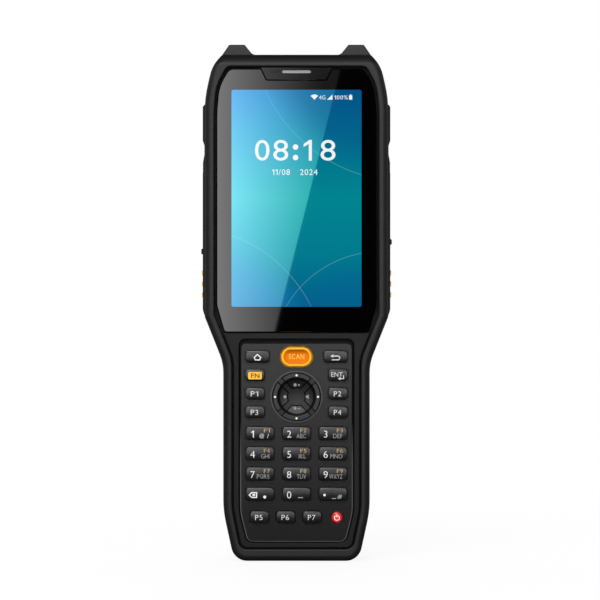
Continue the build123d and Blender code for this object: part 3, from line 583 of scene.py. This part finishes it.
for centre, radius, shade, strength, rim in (
    ((44, 214), 62, "04528a", 0.4, 0.2),
    ((-46, 76), 58, "1e98d8", 0.3, 0.25),
    ((34, 80), 44, "046090", 0.4, 0.2),
):
    tones = arc_over(tones, centre, radius, paint(shade), strength, rim)
lit.blend((0, 0, 0, 1), tones).feed(shader, "Emission Color")
shader.inputs["Emission Strength"].default_value = 1.0
moulded("touch_glass", "display_glass", glass, edge=0)


# ==== Screen marks: clock, date and status row ====
# Lit white figures that the display shows, each a thin flat shape laid on the picture. A real
# one has no thickness.

def prism(outline):
    """Flat shape with thickness: the outline (x, z) in front and again behind it, with walls
    between. Returns points (x, z, depth 0 or 1) and faces."""
    flat = np.asarray(outline, float)
    count = len(flat)
    points = np.vstack([np.c_[flat, np.zeros(count)], np.c_[flat, np.ones(count)]])
    here = np.arange(count)
    following = (here + 1) % count
    walls = np.c_[here, here + count, following + count, following]
    return points, [tuple(here), tuple(here[::-1] + count)] + [tuple(w) for w in walls]


def band(path, thick, closed=False):
    """Line of even width along a path: each point is moved sideways by half the width along
    the mitred normal of its two runs. An open band is one prism, a closed one a ring."""
    path = np.asarray(path, float)
    runs = np.roll(path, -1, 0) - path
    if not closed:
        runs[-1] = runs[-2]
    runs /= np.linalg.norm(runs, axis=1)[:, None]
    before = np.roll(runs, 1, 0)
    if not closed:
        before[0] = runs[0]
    normal = np.c_[-(runs + before)[:, 1], (runs + before)[:, 0]]
    normal /= (normal * np.c_[-runs[:, 1], runs[:, 0]]).sum(1)[:, None]
    left = path + normal * thick / 2
    right = path - normal * thick / 2
    if not closed:
        return prism(np.vstack([right, left[::-1]]))
    count = len(path)
    flat = np.vstack([left, right])
    points = np.vstack([np.c_[flat, np.zeros(2 * count)], np.c_[flat, np.ones(2 * count)]])
    here = np.arange(count)
    following = (here + 1) % count
    deep = 2 * count
    sides = [
        np.c_[here, here + count, following + count, following],
        np.c_[here + deep, following + deep, following + count + deep, here + count + deep],
        np.c_[here, following, following + deep, here + deep],
        np.c_[here + count, here + count + deep, following + count + deep, following + count],
    ]
    return points, [tuple(face) for face in np.vstack(sides)]


def disc(x, z, radius, count=20, start=0.0, sweep=None):
    """Points on a circle, or on an arc of it, at equal angles."""
    angle = start + np.linspace(0, sweep or 2 * math.pi, count, endpoint=bool(sweep))
    return np.c_[x + radius * np.cos(angle), z + radius * np.sin(angle)]


figure_one = [(0.4, 0), (0.4, 1), (0.28, 1), (0, 0.8), (0, 0.66), (0.25, 0.81), (0.25, 0)]


def points_of(mesh):
    """Points of a mesh as rows of x, y, z."""
    points = np.zeros(len(mesh.vertices) * 3)
    mesh.vertices.foreach_get("co", points)
    return points.reshape(-1, 3)


def type_shape(letter, heavy):
    """One letter of the type as a flat shape from 0 to 1 in height, with x from 0. The figure 1
    is a stem with a slanted flag."""
    if letter == "1":
        return prism(figure_one)
    curve = bpy.data.curves.new("type", "FONT")
    curve.body = letter
    curve.extrude = 0.5
    curve.offset = heavy
    curve.resolution_u = 4
    holder = bpy.data.objects.new("type", curve)
    bpy.context.scene.collection.objects.link(holder)
    bpy.context.view_layer.update()
    mesh = bpy.data.meshes.new_from_object(holder)
    points = points_of(mesh)
    faces = [tuple(face.vertices) for face in mesh.polygons]
    bpy.data.objects.remove(holder)
    low = points.min(0)
    scale = 1 / (points.max(0) - low)[1]
    flat = (points[:, :2] - low[:2]) * scale
    return np.c_[flat, (points[:, 2] < 0)], faces


letter_gap = 0.17


def words(text, x, z, tall, wide=None, heavy=0.0):
    """A line of type with its middle at x, z: letters side by side, letter_gap of the height
    apart, made tall and, if given, wide."""
    shapes = []
    at = 0.0
    for letter in text:
        if letter == " ":
            at += 2 * letter_gap
            continue
        points, faces = type_shape(letter, heavy)
        shapes.append((points + (at, 0, 0), faces))
        at = shapes[-1][0][:, 0].max() + letter_gap
    points, faces = joined(shapes)
    length = at - letter_gap
    scale_x = wide / length if wide else tall
    points[:, 0] = x + (points[:, 0] - length / 2) * scale_x
    points[:, 1] = z + (points[:, 1] - 0.5) * tall
    return points, faces


def joined(shapes):
    """Several flat shapes as one."""
    offsets = np.cumsum([0] + [len(points) for points, faces in shapes])
    faces = [
        tuple(int(corner) + offset for corner in face)
        for offset, (points, some) in zip(offsets.tolist(), shapes) for face in some
    ]
    return np.vstack([points for points, some in shapes]), faces


def printed(name, shapes, body, ink, surface, rise=0.02, sink=0.06, step=None):
    """Marks as one piece, laid on a surface given as the depth y (mm) over x and z: they stand
    rise proud of it and reach sink into it. On a curved surface they are cut every step."""
    flat, faces = joined(shapes)
    mesh = bpy.data.meshes.new(name)
    mesh.from_pydata(flat[:, [0, 2, 1]].tolist(), [], faces)
    work = bmesh.new()
    work.from_mesh(mesh)
    bmesh.ops.remove_doubles(work, verts=work.verts, dist=1e-4)
    if step:
        for axis, normal in enumerate(np.eye(3)[[0, 2]]):
            for cut in np.arange(flat[:, axis].min() + step, flat[:, axis].max(), step):
                whole = work.verts[:] + work.edges[:] + work.faces[:]
                bmesh.ops.bisect_plane(
                    work, geom=whole, dist=1e-5, plane_co=cut * normal, plane_no=normal
                )
    bmesh.ops.recalc_face_normals(work, faces=work.faces)
    work.to_mesh(mesh)
    work.free()
    points = points_of(mesh)
    layer = np.where(points[:, 1] < 0.5, -rise, sink)
    points[:, 1] = surface(points[:, 0], points[:, 2]) + layer
    mesh.vertices.foreach_set("co", (points * MM).ravel())
    mesh.update()
    made = link(name, mesh, ink)
    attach(made, body)
    return made


def flat_at(depth):
    """Flat surface: the same depth for every x and z."""
    return lambda x, z: depth + 0 * x


on_glass = flat_at(glass_y / MM)
white_light, shader, place = finish("white_light", (0.01, 0.01, 0.01, 1), Roughness=0.02, IOR=1.5)
shader.inputs["Emission Strength"].default_value = 0.9
noise(place, 0.2).blend(paint("f4fbff"), paint("ffffff")).feed(shader, "Emission Color")
clock_z = 164.45
clock_tall = 8.3
date_place = (155.7, 2.3)
clock = [
    words(figure, middle, clock_z, clock_tall, wide)
    for figure, middle, wide in (
        ("0", -13.7, 5.8), ("8", -6.3, 6.0), ("1", 4.5, 3.3), ("8", 12.6, 6.0),
    )
]
clock += [prism(disc(-0.4, clock_z + rise, 1.1)) for rise in (1.3, -2.9)]
date = [words("11/08", -6.2, *date_place), words("2024", 4.9, *date_place)]
status_z = 185.6
status_foot = 184.7
cell_top = 186.4
status = [
    prism(np.vstack([[(7.15, status_foot)], disc(7.15, status_foot, 2.1, 9, 0.8, 1.55)])),
    words("4G", 10.3, status_z, 1.6, 2.5),
    prism([(12.2, status_foot), (14.4, status_foot), (14.4, 186.7)]),
    words("100%", 17.8, status_z, 1.6, 5.4),
    prism([(21.0, status_foot), (22.3, status_foot), (22.3, cell_top), (21.9, cell_top),
           (21.9, 186.8), (21.4, 186.8), (21.4, cell_top), (21.0, cell_top)]),
]
printed("clock", clock + date, "housing", white_light, on_glass, 0.01, 0.02)
printed("status_row", status, "housing", white_light, on_glass, 0.01, 0.02)

# ==== Receiver: black trim, its dust screen and sensor holes ====
# The trim is let into the top edge of the glass. A woven metal screen fills its slot; beside
# it are the small holes of the light and distance sensors.

trim_plastic = grained("trim_plastic", paint("040405"), 0.06, grain=5.0, depth=4e-4, patch=0.02)
moulded("receiver_trim", "earpiece_cover", trim_plastic, edge=0.2)
screen_cloth, shader, place = finish("screen_cloth", paint("a8a8a8"))
weave = place.node("ShaderNodeTexWave", {"bands_direction": "X"}, {"Vector": place, "Scale": 2.4})
weft = place.node("ShaderNodeTexWave", {"bands_direction": "Z"}, {"Vector": place, "Scale": 2.4})
(weave * weft).blend(paint("78787a"), paint("d8d8da")).feed(shader, "Base Color")
(0.35 + 0.3 * weave).feed(shader, "Roughness")
place.node(
    "ShaderNodeBump", {}, {"Strength": 0.6, "Distance": 0.03 * MM, "Height": weave + weft}
).feed(shader, "Normal")
moulded("dust_screen", "earpiece_speaker", screen_cloth, edge=0)
# The sensor holes are flat near-black discs laid on the trim: painted shade for the openings.
painted_hole_shade = grained("painted_hole_shade", paint("020202"), 0.8, grain=8.0)
on_trim = flat_at(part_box("earpiece_cover")[0].y / MM)
hole_x = -10.0
hole_z = 196.25
hole_pitch = 0.62
holes = [
    prism(disc(hole_x + hole_pitch * column, hole_z - hole_pitch * row, 0.19, 10))
    for column in range(6) for row in range(2)
]
printed("sensor_holes", holes, "housing", painted_hole_shade, on_trim, 0.005, 0.05)


# ==== Key caps and their legends ====
# Injection-moulded caps with a crowned top and rolled edges, each with a flange under the
# plate. Legends are printed: white figures, grey letters, amber function names.

flange = 0.7
flange_thick = 0.5
key_corner = 1.35
edge_in = 0.55
edge_down = 0.18
edge_power = 1.6
taper = 0.2
side_share = 0.4
crown_drop = 0.27
crown_across = 0.35
side_points = 5
top_middle = 0.25
print_step = 0.45


def size_of(node):
    """Lowest and highest corner of a CAD node in millimetres."""
    low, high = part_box(node)
    return np.array(low) / MM, np.array(high) / MM


def face_of(node):
    """Middle (x, z) and half sizes (x, z) of the part of a key that stands inside its flange."""
    low, high = size_of(node)
    half = (high - low) / 2 - flange
    return (low[0] + high[0]) / 2, (low[2] + high[2]) / 2, half[0], half[2]


def moved(shapes, x, z):
    """The same flat shapes, shifted to x, z."""
    return [(points + (x, z, 0), faces) for points, faces in shapes]


def rounded(x, z, half_x, half_z, corner, steps=7):
    """Points round a rounded rectangle: four quarter circles joined by straight sides, with
    side_points points along each side."""
    arcs = []
    for turn, (right, up) in enumerate([(1, 1), (-1, 1), (-1, -1), (1, -1)]):
        angle = np.linspace(0, math.pi / 2, steps) + turn * math.pi / 2
        arcs.append(np.c_[
            x + right * (half_x - corner) + corner * np.cos(angle),
            z + up * (half_z - corner) + corner * np.sin(angle),
        ])
    sides = [
        np.linspace(arc[-1], following[0], side_points + 2)[1:-1]
        for arc, following in zip(arcs, arcs[1:] + arcs[:1])
    ]
    return np.vstack([points for pair in zip(arcs, sides) for points in pair])


def ring_at(outline, depth):
    """The outline (x, z) at a depth y, one for all its points or one for each."""
    return np.c_[outline[:, 0], np.broadcast_to(depth, len(outline)), outline[:, 1]]


def skin(name, rings, material):
    """Closed smooth mesh through rings of equal count, each (x, y, z) in millimetres; the
    first and last ring are filled."""
    count = len(rings[0])
    points = np.vstack(rings) * MM
    ring = np.arange(len(rings) - 1)[:, None] * count
    here = np.arange(count)[None, :]
    following = (here + 1) % count
    quads = np.stack(
        [ring + here, ring + following, ring + count + following, ring + count + here], -1
    ).reshape(-1, 4)
    last = (len(rings) - 1) * count
    faces = [tuple(face) for face in quads.tolist()]
    faces += [tuple(range(count))[::-1], tuple(range(last, last + count))]
    mesh = bpy.data.meshes.new(name)
    mesh.from_pydata(points.tolist(), [], faces)
    work = bmesh.new()
    work.from_mesh(mesh)
    bmesh.ops.recalc_face_normals(work, faces=work.faces)
    settle(work, mesh, 40)
    return link(name, mesh, material)


def crown_of(node):
    """Depth of a key's crowned top: least at its middle, and more by crown_drop times the
    squares of the shares of its half sizes, weighted crown_across sideways."""
    front = size_of(node)[0][1]
    x0, z0, half_x, half_z = face_of(node)
    return lambda x, z: front + crown_drop * (
        crown_across * ((x - x0) / half_x) ** 2 + (1 - crown_across) * ((z - z0) / half_z) ** 2
    )


def key_cap(node):
    """Rings of a rounded rectangle from the flange's back round its edge, up the tapered wall
    and over the bevel to the crown. Along the bevel the inset goes with one less a power of the
    cosine, the drop with one less that power of the sine: the power sets it between round and
    flat. Sideways the insets are side_share of those up and down."""
    x0, z0, half_x, half_z = face_of(node)
    back = size_of(node)[1][1]
    step = back - flange_thick
    crown = crown_of(node)
    rings = []
    for inset, depth in ((-flange, back), (-flange, step), (0, step)):
        flat = rounded(x0, z0, half_x - inset, half_z - inset, key_corner)
        rings.append(ring_at(flat, depth))
    turn = np.linspace(0, math.pi / 2, 7)
    bevel_in = taper + edge_in * (1 - np.cos(turn) ** edge_power)
    bevel_down = edge_down * (1 - np.sin(turn) ** edge_power)
    across_top = np.linspace(taper + edge_in, half_z - top_middle, 6)[1:]
    insets = np.concatenate([bevel_in, across_top])
    drops = np.concatenate([bevel_down, 0 * across_top])
    for inset, drop in zip(insets, drops):
        corner = min(max(key_corner - inset, 0.2), half_z - inset)
        flat = rounded(x0, z0, half_x - side_share * inset, half_z - inset, corner)
        rings.append(ring_at(flat, crown(*flat.T) + drop))
    place_for(skin(f"cap_{node}", rings, key_plastic), node)


key_plastic = grained("key_plastic", paint("121213"), 0.22, grain=6.0, depth=0.003,
                      Specular_IOR_Level=0.4)
white_ink, pale_ink, grey_ink, faint_ink, amber_ink, label_amber, brown_ink = (
    grained(name, paint(code), rough, grain=8.0, depth=0.002)
    for name, code, rough in (
        ("white_ink", "dedede", 0.5), ("pale_ink", "c0c0c2", 0.5), ("grey_ink", "969698", 0.5),
        ("faint_ink", "808082", 0.5), ("amber_ink", "ac8c64", 0.5),
        ("label_amber", "e6b02c", 0.45), ("brown_ink", "7a2e04", 0.5),
    )
)


def legend(node, name, shapes, ink):
    """Marks on one key's crown, given round the key's middle."""
    x0, z0 = face_of(node)[:2]
    printed(
        f"{name}_{node}", moved(shapes, x0, z0), body_of[node], ink, crown_of(node),
        step=print_step,
    )


def key(node, figure, ink):
    """One key: its cap and the figure printed on it."""
    key_cap(node)
    legend(node, "figure", figure, ink)


groups = {2: ("ABC", 3.7), 3: ("DEF", 3.7), 4: ("GHI", 3.3), 5: ("JKL", 3.0), 6: ("MNO", 4.8),
          7: ("PQRS", 5.0), 8: ("TUV", 3.6), 9: ("WXYZ", 5.3)}
figure_place = (-2.95, -0.15, 2.7)
function_place = (2.75, 1.3, 1.5, 2.4)
letters_end = 3.75
letters_z = -0.9
letters_tall = 1.7
thin = -0.012
for number in range(1, 10):
    node = f"key_{number}"
    key(node, [words(str(number), *figure_place, heavy=thin)], white_ink)
    legend(node, "function", [words(f"F{number}", *function_place)], amber_ink)
    if number in groups:
        group, across = groups[number]
        line = words(group, letters_end - across / 2, letters_z, letters_tall, across, thin)
        legend(node, "letters", [line], grey_ink)
legend("key_1", "letters", [
    words("@", 0.75, letters_z, 1.9), words("/", 3.2, letters_z, letters_tall),
], pale_ink)

key("key_0", [words("0", *figure_place, heavy=thin)], white_ink)
legend("key_0", "letters", [
    prism([(0.6, -1.4), (2.6, -1.4), (2.6, -1.05), (0.6, -1.05)]),
], grey_ink)
key("key_symbol", [prism(disc(-3.4, -0.2, 0.5))], white_ink)
legend("key_symbol", "letters", [
    prism([(-0.5, -1.75), (1.2, -1.75), (1.2, -1.45), (-0.5, -1.45)]),
    band([(2.05, -1.75), (2.6, -0.05)], 0.3),
    band([(2.75, -1.75), (3.3, -0.05)], 0.3),
    band([(1.85, -0.6), (3.6, -0.6)], 0.22),
    band([(1.7, -1.2), (3.45, -1.2)], 0.22),
], grey_ink)
key("key_backspace", [
    band([(-4.3, -0.2), (-3.3, 0.75), (-1.35, 0.75), (-1.35, -1.15), (-3.3, -1.15)], 0.42, True),
    band([(-2.95, 0.2), (-2.0, -0.6)], 0.4),
    band([(-2.95, -0.6), (-2.0, 0.2)], 0.4),
    prism(disc(1.9, -1.0, 0.6)),
], white_ink)

key("key_home", [band(
    [(0.0, 0.95), (1.3, -0.25), (0.85, -1.25), (-0.85, -1.25), (-1.3, -0.25)], 0.4, True,
)], white_ink)
hook = disc(0.95, -0.45, 0.75, 8, math.pi / 2, -math.pi)
key("key_back", [
    band(np.vstack([[(-1.2, 0.3)], hook, [(-1.5, -1.2)]]), 0.4),
    prism([(-2.0, 0.3), (-0.9, 1.0), (-0.9, -0.4)]),
], pale_ink)
key("key_enter", [
    words("ENT", -0.45, 0.35, 1.8, 4.5),
    band([(2.2, 0.0), (2.2, -1.3), (0.9, -1.3)], 0.35),
    prism([(0.0, -1.3), (1.0, -0.65), (1.0, -1.95)]),
], pale_ink)
for number in range(1, 8):
    key(f"key_p{number}", [words(f"P{number}", -0.2, 0.05, 2.05, 3.0)], pale_ink)

# The FN key carries an amber label that follows its crown, with the letters printed on it.
key_cap("key_fn")
label_half_x = 2.75
label_half_z = 1.5
label_corner = 0.6
label_sink = 0.1
label_proud = -0.02
fn_x0, fn_z0 = face_of("key_fn")[:2]
fn_z0 -= 0.1
fn_crown = crown_of("key_fn")
fn_rings = []
insets = [0, 0, *np.linspace(0.2, 1.3, 5)]
for inset, depth in zip(insets, [label_sink] + 6 * [label_proud]):
    corner = max(label_corner - inset, 0.15)
    flat = rounded(fn_x0, fn_z0, label_half_x - inset, label_half_z - inset, corner)
    fn_rings.append(ring_at(flat, fn_crown(*flat.T) + depth))
label = skin("label_key_fn", fn_rings, label_amber)
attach(label, body_of["key_fn"])
printed(
    "figure_key_fn", [words("FN", fn_x0 + 0.1, fn_z0, 1.8, 3.4, heavy=0.02)], body_of["key_fn"],
    brown_ink, fn_crown, rise=0.08, step=print_step,
)

# ==== Scan key ====
# Orange moulded key with a raised yellow rim round a shallow dish and the word cast in it. Like
# the caps it is held by a flange under the plate.

scan_front, scan_back = size_of("key_scan")[0][1], size_of("key_scan")[1][1]
scan_x0, scan_z0, scan_half_x, scan_half_z = face_of("key_scan")
scan_rim = 0.95
dish = 0.7


def rim_tint(tone, place):
    """Yellow in a rim of even width along the key's edge. Inside it the orange is deeper towards
    its top: a painted shadow of the rim."""
    x, y, z = place.axes()
    along = (abs(x - scan_x0) - (scan_half_x - scan_half_z)).above(0.0)
    across = z - scan_z0
    inward = scan_half_z - (along * along + across * across) ** 0.5
    # Painted shadow of the rim: deeper orange over the top of the dish.
    tone = ((across - 0.8) / 2.2).limited().blend(tone, paint("8a4200"))
    return ((scan_rim - inward) * 5).limited().blend(tone, paint("e6a82c"))


scan_orange = grained("scan_orange", paint("d26e00"), 0.34, grain=5.0, depth=0.004, tint=rim_tint,
                      Specular_IOR_Level=0.06)
dish_width = 1.5
dish_edge = 0.14
# Inset and depth of each ring: the flange and wall, the round rim, and the quarter sine wave
# down into the dish.
scan_rows = [
    (-flange, scan_back), (-flange, scan_back - flange_thick), (0.0, scan_back - flange_thick),
    (0.0, scan_front + 0.45), (0.08, scan_front + 0.22), (0.25, scan_front + 0.06),
    (0.5, scan_front), (0.75, scan_front + 0.06),
]
scan_rows += [
    (scan_rim + dish_width * part,
     scan_front + dish_edge + (dish - dish_edge) * math.sin(part * math.pi / 2))
    for part in np.linspace(0, 1, 6)
]
scan_rows.append((scan_half_z - 0.3, scan_front + dish))
scan_rings = []
for inset, depth in scan_rows:
    half_z = scan_half_z - inset
    flat = rounded(scan_x0, scan_z0, scan_half_x - inset, half_z, half_z - 0.05, steps=16)
    scan_rings.append(ring_at(flat, depth))
place_for(skin("cap_scan", scan_rings, scan_orange), "key_scan")
cast_orange = grained("cast_orange", paint("f8b048"), 0.35, grain=6.0, depth=0.003,
                      Specular_IOR_Level=0.14)
printed(
    "word_scan", [words("SCAN", scan_x0, scan_z0 + 0.1, 2.1, 6.2, heavy=0.01)],
    body_of["key_scan"], cast_orange, flat_at(scan_front + dish), 0.1,
)


# ==== Power key ====
# Small domed red key with the round power sign printed on it. Towards the edge of the dome the
# red deepens to wine, a painted shade.

def turned(name, centre, base, profile, material, lobes=0.0, count=40):
    """Profile (radius, depth behind base) carried round the centre (x, z). Where a row's third
    value is 1, the radius swings by the share lobes with the cosine of six times the angle."""
    angle = np.linspace(0, 2 * math.pi, count, endpoint=False)
    rings = []
    for radius, depth, star in [(*row, 0)[:3] for row in profile]:
        reach = radius * (1 + lobes * star * np.cos(6 * angle))
        flat = np.c_[centre[0] + reach * np.cos(angle), centre[1] + reach * np.sin(angle)]
        rings.append(ring_at(flat, base + depth))
    return skin(name, rings, material)


power_front, power_back = size_of("key_power")[0][1], size_of("key_power")[1][1]
power_x0, power_z0, power_radius = face_of("key_power")[:3]
dome = 1.0
dome_bulge = 0.84


def power_top(x, z):
    """Dome of the power key, the cap of an ellipse: its depth goes with one less the root of one
    less dome_bulge times the squared share of the radius, and is dome at the edge."""
    share = np.hypot(x - power_x0, z - power_z0) / power_radius
    fall = 1 - np.sqrt(np.clip(1 - dome_bulge * share**2, 0, 1))
    return power_front + dome * fall / (1 - math.sqrt(1 - dome_bulge))


dome_profile = [
    (power_radius * share, float(power_top(power_x0 + power_radius * share, power_z0)))
    for share in np.linspace(1, 0.06, 12)
]


def edge_tint(tone, place):
    """Painted shade: deep wine red towards the edge of the dome."""
    share = away_from(power_x0, power_z0, place) / power_radius
    return ((share - 0.66) * 3.4).limited().blend(tone, paint("30060a"))


power_red = grained("power_red", paint("d8202a"), 0.26, grain=5.0, depth=0.004, tint=edge_tint,
                    Specular_IOR_Level=0.5)
power_cap = turned(
    "cap_power", (power_x0, power_z0), 0,
    [(power_radius + flange, power_back), (power_radius + flange, power_back - flange_thick),
     (power_radius, power_back - flange_thick)] + dome_profile,
    power_red,
)
place_for(power_cap, "key_power")
printed(
    "power_sign", [
        band(disc(power_x0, power_z0 - 0.1, 1.0, 18, math.radians(125), math.radians(290)), 0.34),
        band([(power_x0, power_z0 + 1.25), (power_x0, power_z0 + 0.1)], 0.34),
    ],
    body_of["key_power"], white_ink, power_top, step=0.4,
)

# ==== Navigation keys ====
# Four moulded keys share one dished ring. Each has a lamp window in its raised band and a small
# printed sign near the hub.

nav_plastic = grained("nav_plastic", paint("0f0f10"), 0.34, grain=6.0, depth=0.004, form=dished,
                      Specular_IOR_Level=0.4)
on_band = flat_at(nav_low.y)
in_dish = flat_at(nav_low.y + 0.75)
lamp_reach = 8.6
lamp_radius = 0.42
lamps = disc(nav_x0, nav_z0, lamp_reach, 4)
for side, (lamp_x, lamp_z) in zip(("right", "up", "left", "down"), lamps):
    node = f"nav_{side}"
    moulded(f"cap_{node}", node, nav_plastic, edge=0.15)
    window = [prism(disc(lamp_x, lamp_z, lamp_radius))]
    printed(f"lamp_{node}", window, body_of[node], white_ink, on_band)
signs = {
    "up": [prism(disc(-0.55, 4.75, 0.62)), prism(disc(0.95, 4.75, 0.35))],
    "left": [prism(disc(-4.6, 0.0, 0.62))],
    "right": [prism([(3.7, -0.45), (4.2, -0.45), (4.9, -0.95), (4.9, 0.95), (4.2, 0.45),
                     (3.7, 0.45)])],
    "down": [prism(disc(-0.6, -4.6, 0.62)), band([(0.4, -4.8), (1.5, -4.8)], 0.4)],
}
for side, shapes in signs.items():
    printed(
        f"sign_nav_{side}", moved(shapes, nav_x0, nav_z0), body_of[f"nav_{side}"],
        faint_ink, in_dish, 0.05,
    )

# ==== Back: camera, loudspeaker grille, screws, battery ====
# The camera looks through a dark glass with a metal ring, glued into the shell's hump. A grey
# slide latch holds the battery pack's crowned moulded shell. Six star-head steel screws clamp
# the rear shell to the front.

def clear(name, low, high, scale, rough, spread, ior=1.5):
    """Dark glass or clear plastic whose gloss and tone drift together with a slow noise."""
    material, shader, place = finish(name, low, IOR=ior)
    haze = noise(place, scale)
    (rough + spread * haze).feed(shader, "Roughness")
    haze.blend(low, high).feed(shader, "Base Color")
    return material


camera_tone = (0.004, 0.004, 0.005, 1)
camera_glass = clear("camera_glass", camera_tone, camera_tone, 0.5, 0.03, 0.05)
moulded("lens_cover", "camera_window", camera_glass, edge=0.15)
cover_low, cover_high = size_of("camera_window")
lens_x = -4.6
flash_x = 5.4
lens_z = (cover_low[2] + cover_high[2]) / 2
cover_y = cover_high[1]


def brushed(name, colour, rough):
    """Metal whose gloss and tone vary with a fine noise."""
    material, shader, place = finish(name, colour, Metallic=1.0)
    fine = noise(place, 6.0, Detail=2.0)
    (rough + 0.15 * fine).feed(shader, "Roughness")
    low = (*(0.8 * part for part in colour[:3]), 1)
    fine.blend(low, colour).feed(shader, "Base Color")
    return material


ring_metal = brushed("ring_metal", paint("5c5c60"), 0.25)
lens_ring = turned(
    "lens_ring", (lens_x, lens_z), cover_y,
    [(3.3, 0.02), (3.3, 0.15), (3.15, 0.19), (2.7, 0.19), (2.55, 0.1), (2.55, 0.02)],
    ring_metal, count=48,
)
lens_coating = clear(
    "lens_eye", (0.002, 0.004, 0.012, 1), (0.012, 0.003, 0.02, 1), 0.8, 0.02, 0.02, 1.6
)
lens_eye = turned(
    "lens_eye", (lens_x, lens_z), cover_y,
    [(2.5, 0.01), (2.3, 0.06), (1.7, 0.11), (0.9, 0.14), (0.15, 0.15)], lens_coating,
)
flash_lens = grained("flash_lens", paint("fff2c0"), 0.25, grain=3.0, depth=0.02)
flash = turned(
    "flash_lamp", (flash_x, lens_z), cover_y,
    [(1.7, 0.01), (1.6, 0.08), (1.0, 0.14), (0.1, 0.16)], flash_lens, count=32,
)
for piece in (lens_ring, lens_eye, flash):
    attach(piece, "housing")
grille_plastic = grained("grille_plastic", paint("0f0f10"), 0.5, grain=4.0, depth=0.01)
moulded("sound_grille", "speaker_grille", grille_plastic, edge=0.12)
pack_plastic = grained("pack_plastic", paint("171718"), 0.52, grain=3.2, depth=0.014)
moulded("battery_shell", "battery_case", pack_plastic, edge=0.3)
latch_plastic = grained("latch_plastic", paint("4a4a4e"), 0.45, grain=4.0, depth=0.008)
moulded("slide_latch", "battery_latch", latch_plastic, edge=0.15)

screw_steel = brushed("screw_steel", paint("8c8c90"), 0.3)
counterbore = 9.8
screw_places = [(30.6, 183.85), (31.0, 111.85), (17.05, 7.3)]
screw_profile = [
    (1.95, -0.1), (1.95, 0.6), (1.8, 0.8), (1.05, 0.86), (0.9, 0.84, 1), (0.85, 0.2, 1), (0.1, 0.2),
]
for row, (across, up) in enumerate(screw_places):
    for side, sign in (("left", -1), ("right", 1)):
        head = turned(
            f"screw_{side}_{row}", (sign * across, up), counterbore, screw_profile, screw_steel,
            lobes=0.16, count=48,
        )
        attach(head, "housing")

# ==== Top end: scan window and engine ====
# The reader looks out through a dark red window between the horns. It is polished acrylic,
# set into the rear shell.

scan_acrylic = clear(
    "scan_acrylic", (0.012, 0.001, 0.001, 1), (0.035, 0.002, 0.002, 1), 0.4, 0.04, 0.05, 1.49
)
moulded("reader_window", "scan_window", scan_acrylic, edge=0.15)

# ==== Parts inside and in the ports ====
# Plain CAD shapes, each with the finish of what it is made of: steel sockets, a green board,
# gold contacts and black cases. They show in the ports, at the foot and with the battery out.

steel = brushed("port_steel", paint("b4b4b8"), 0.25)


def copper_tint(tone, place):
    """Lighter solder lands scattered over the green board."""
    spots = place.node("ShaderNodeTexVoronoi", {}, {"Vector": place, "Scale": 0.5})
    return ((0.25 - spots) * 20).limited().blend(tone, paint("c0a060"))


inside = {
    "lcd_panel": grained("display_back", paint("101014"), 0.3),
    "keymat": grained("mat_silicone", paint("4c4c4e"), 0.6, grain=2.0),
    "chassis": grained("cast_coat", paint("070708"), 0.65, grain=3.0, depth=0.01),
    "main_board": grained("board_green", paint("17502e"), 0.35, grain=3.0, tint=copper_tint),
    "scan_engine": grained("engine_black", paint("121214"), 0.5),
    "camera_module": grained("module_black", paint("0c0c0e"), 0.3),
    "loudspeaker": grained("speaker_black", paint("242426"), 0.5),
    "usb_socket": steel,
    "card_socket": steel,
    "dock_contacts": brushed("contact_gold", paint("e0b050"), 0.2),
    "battery_cells": grained("cell_wrap", paint("56708c"), 0.4, grain=2.0),
}
for node, material in inside.items():
    mesh = frame["nodes"][node].data
    mesh.materials.clear()
    mesh.materials.append(material)
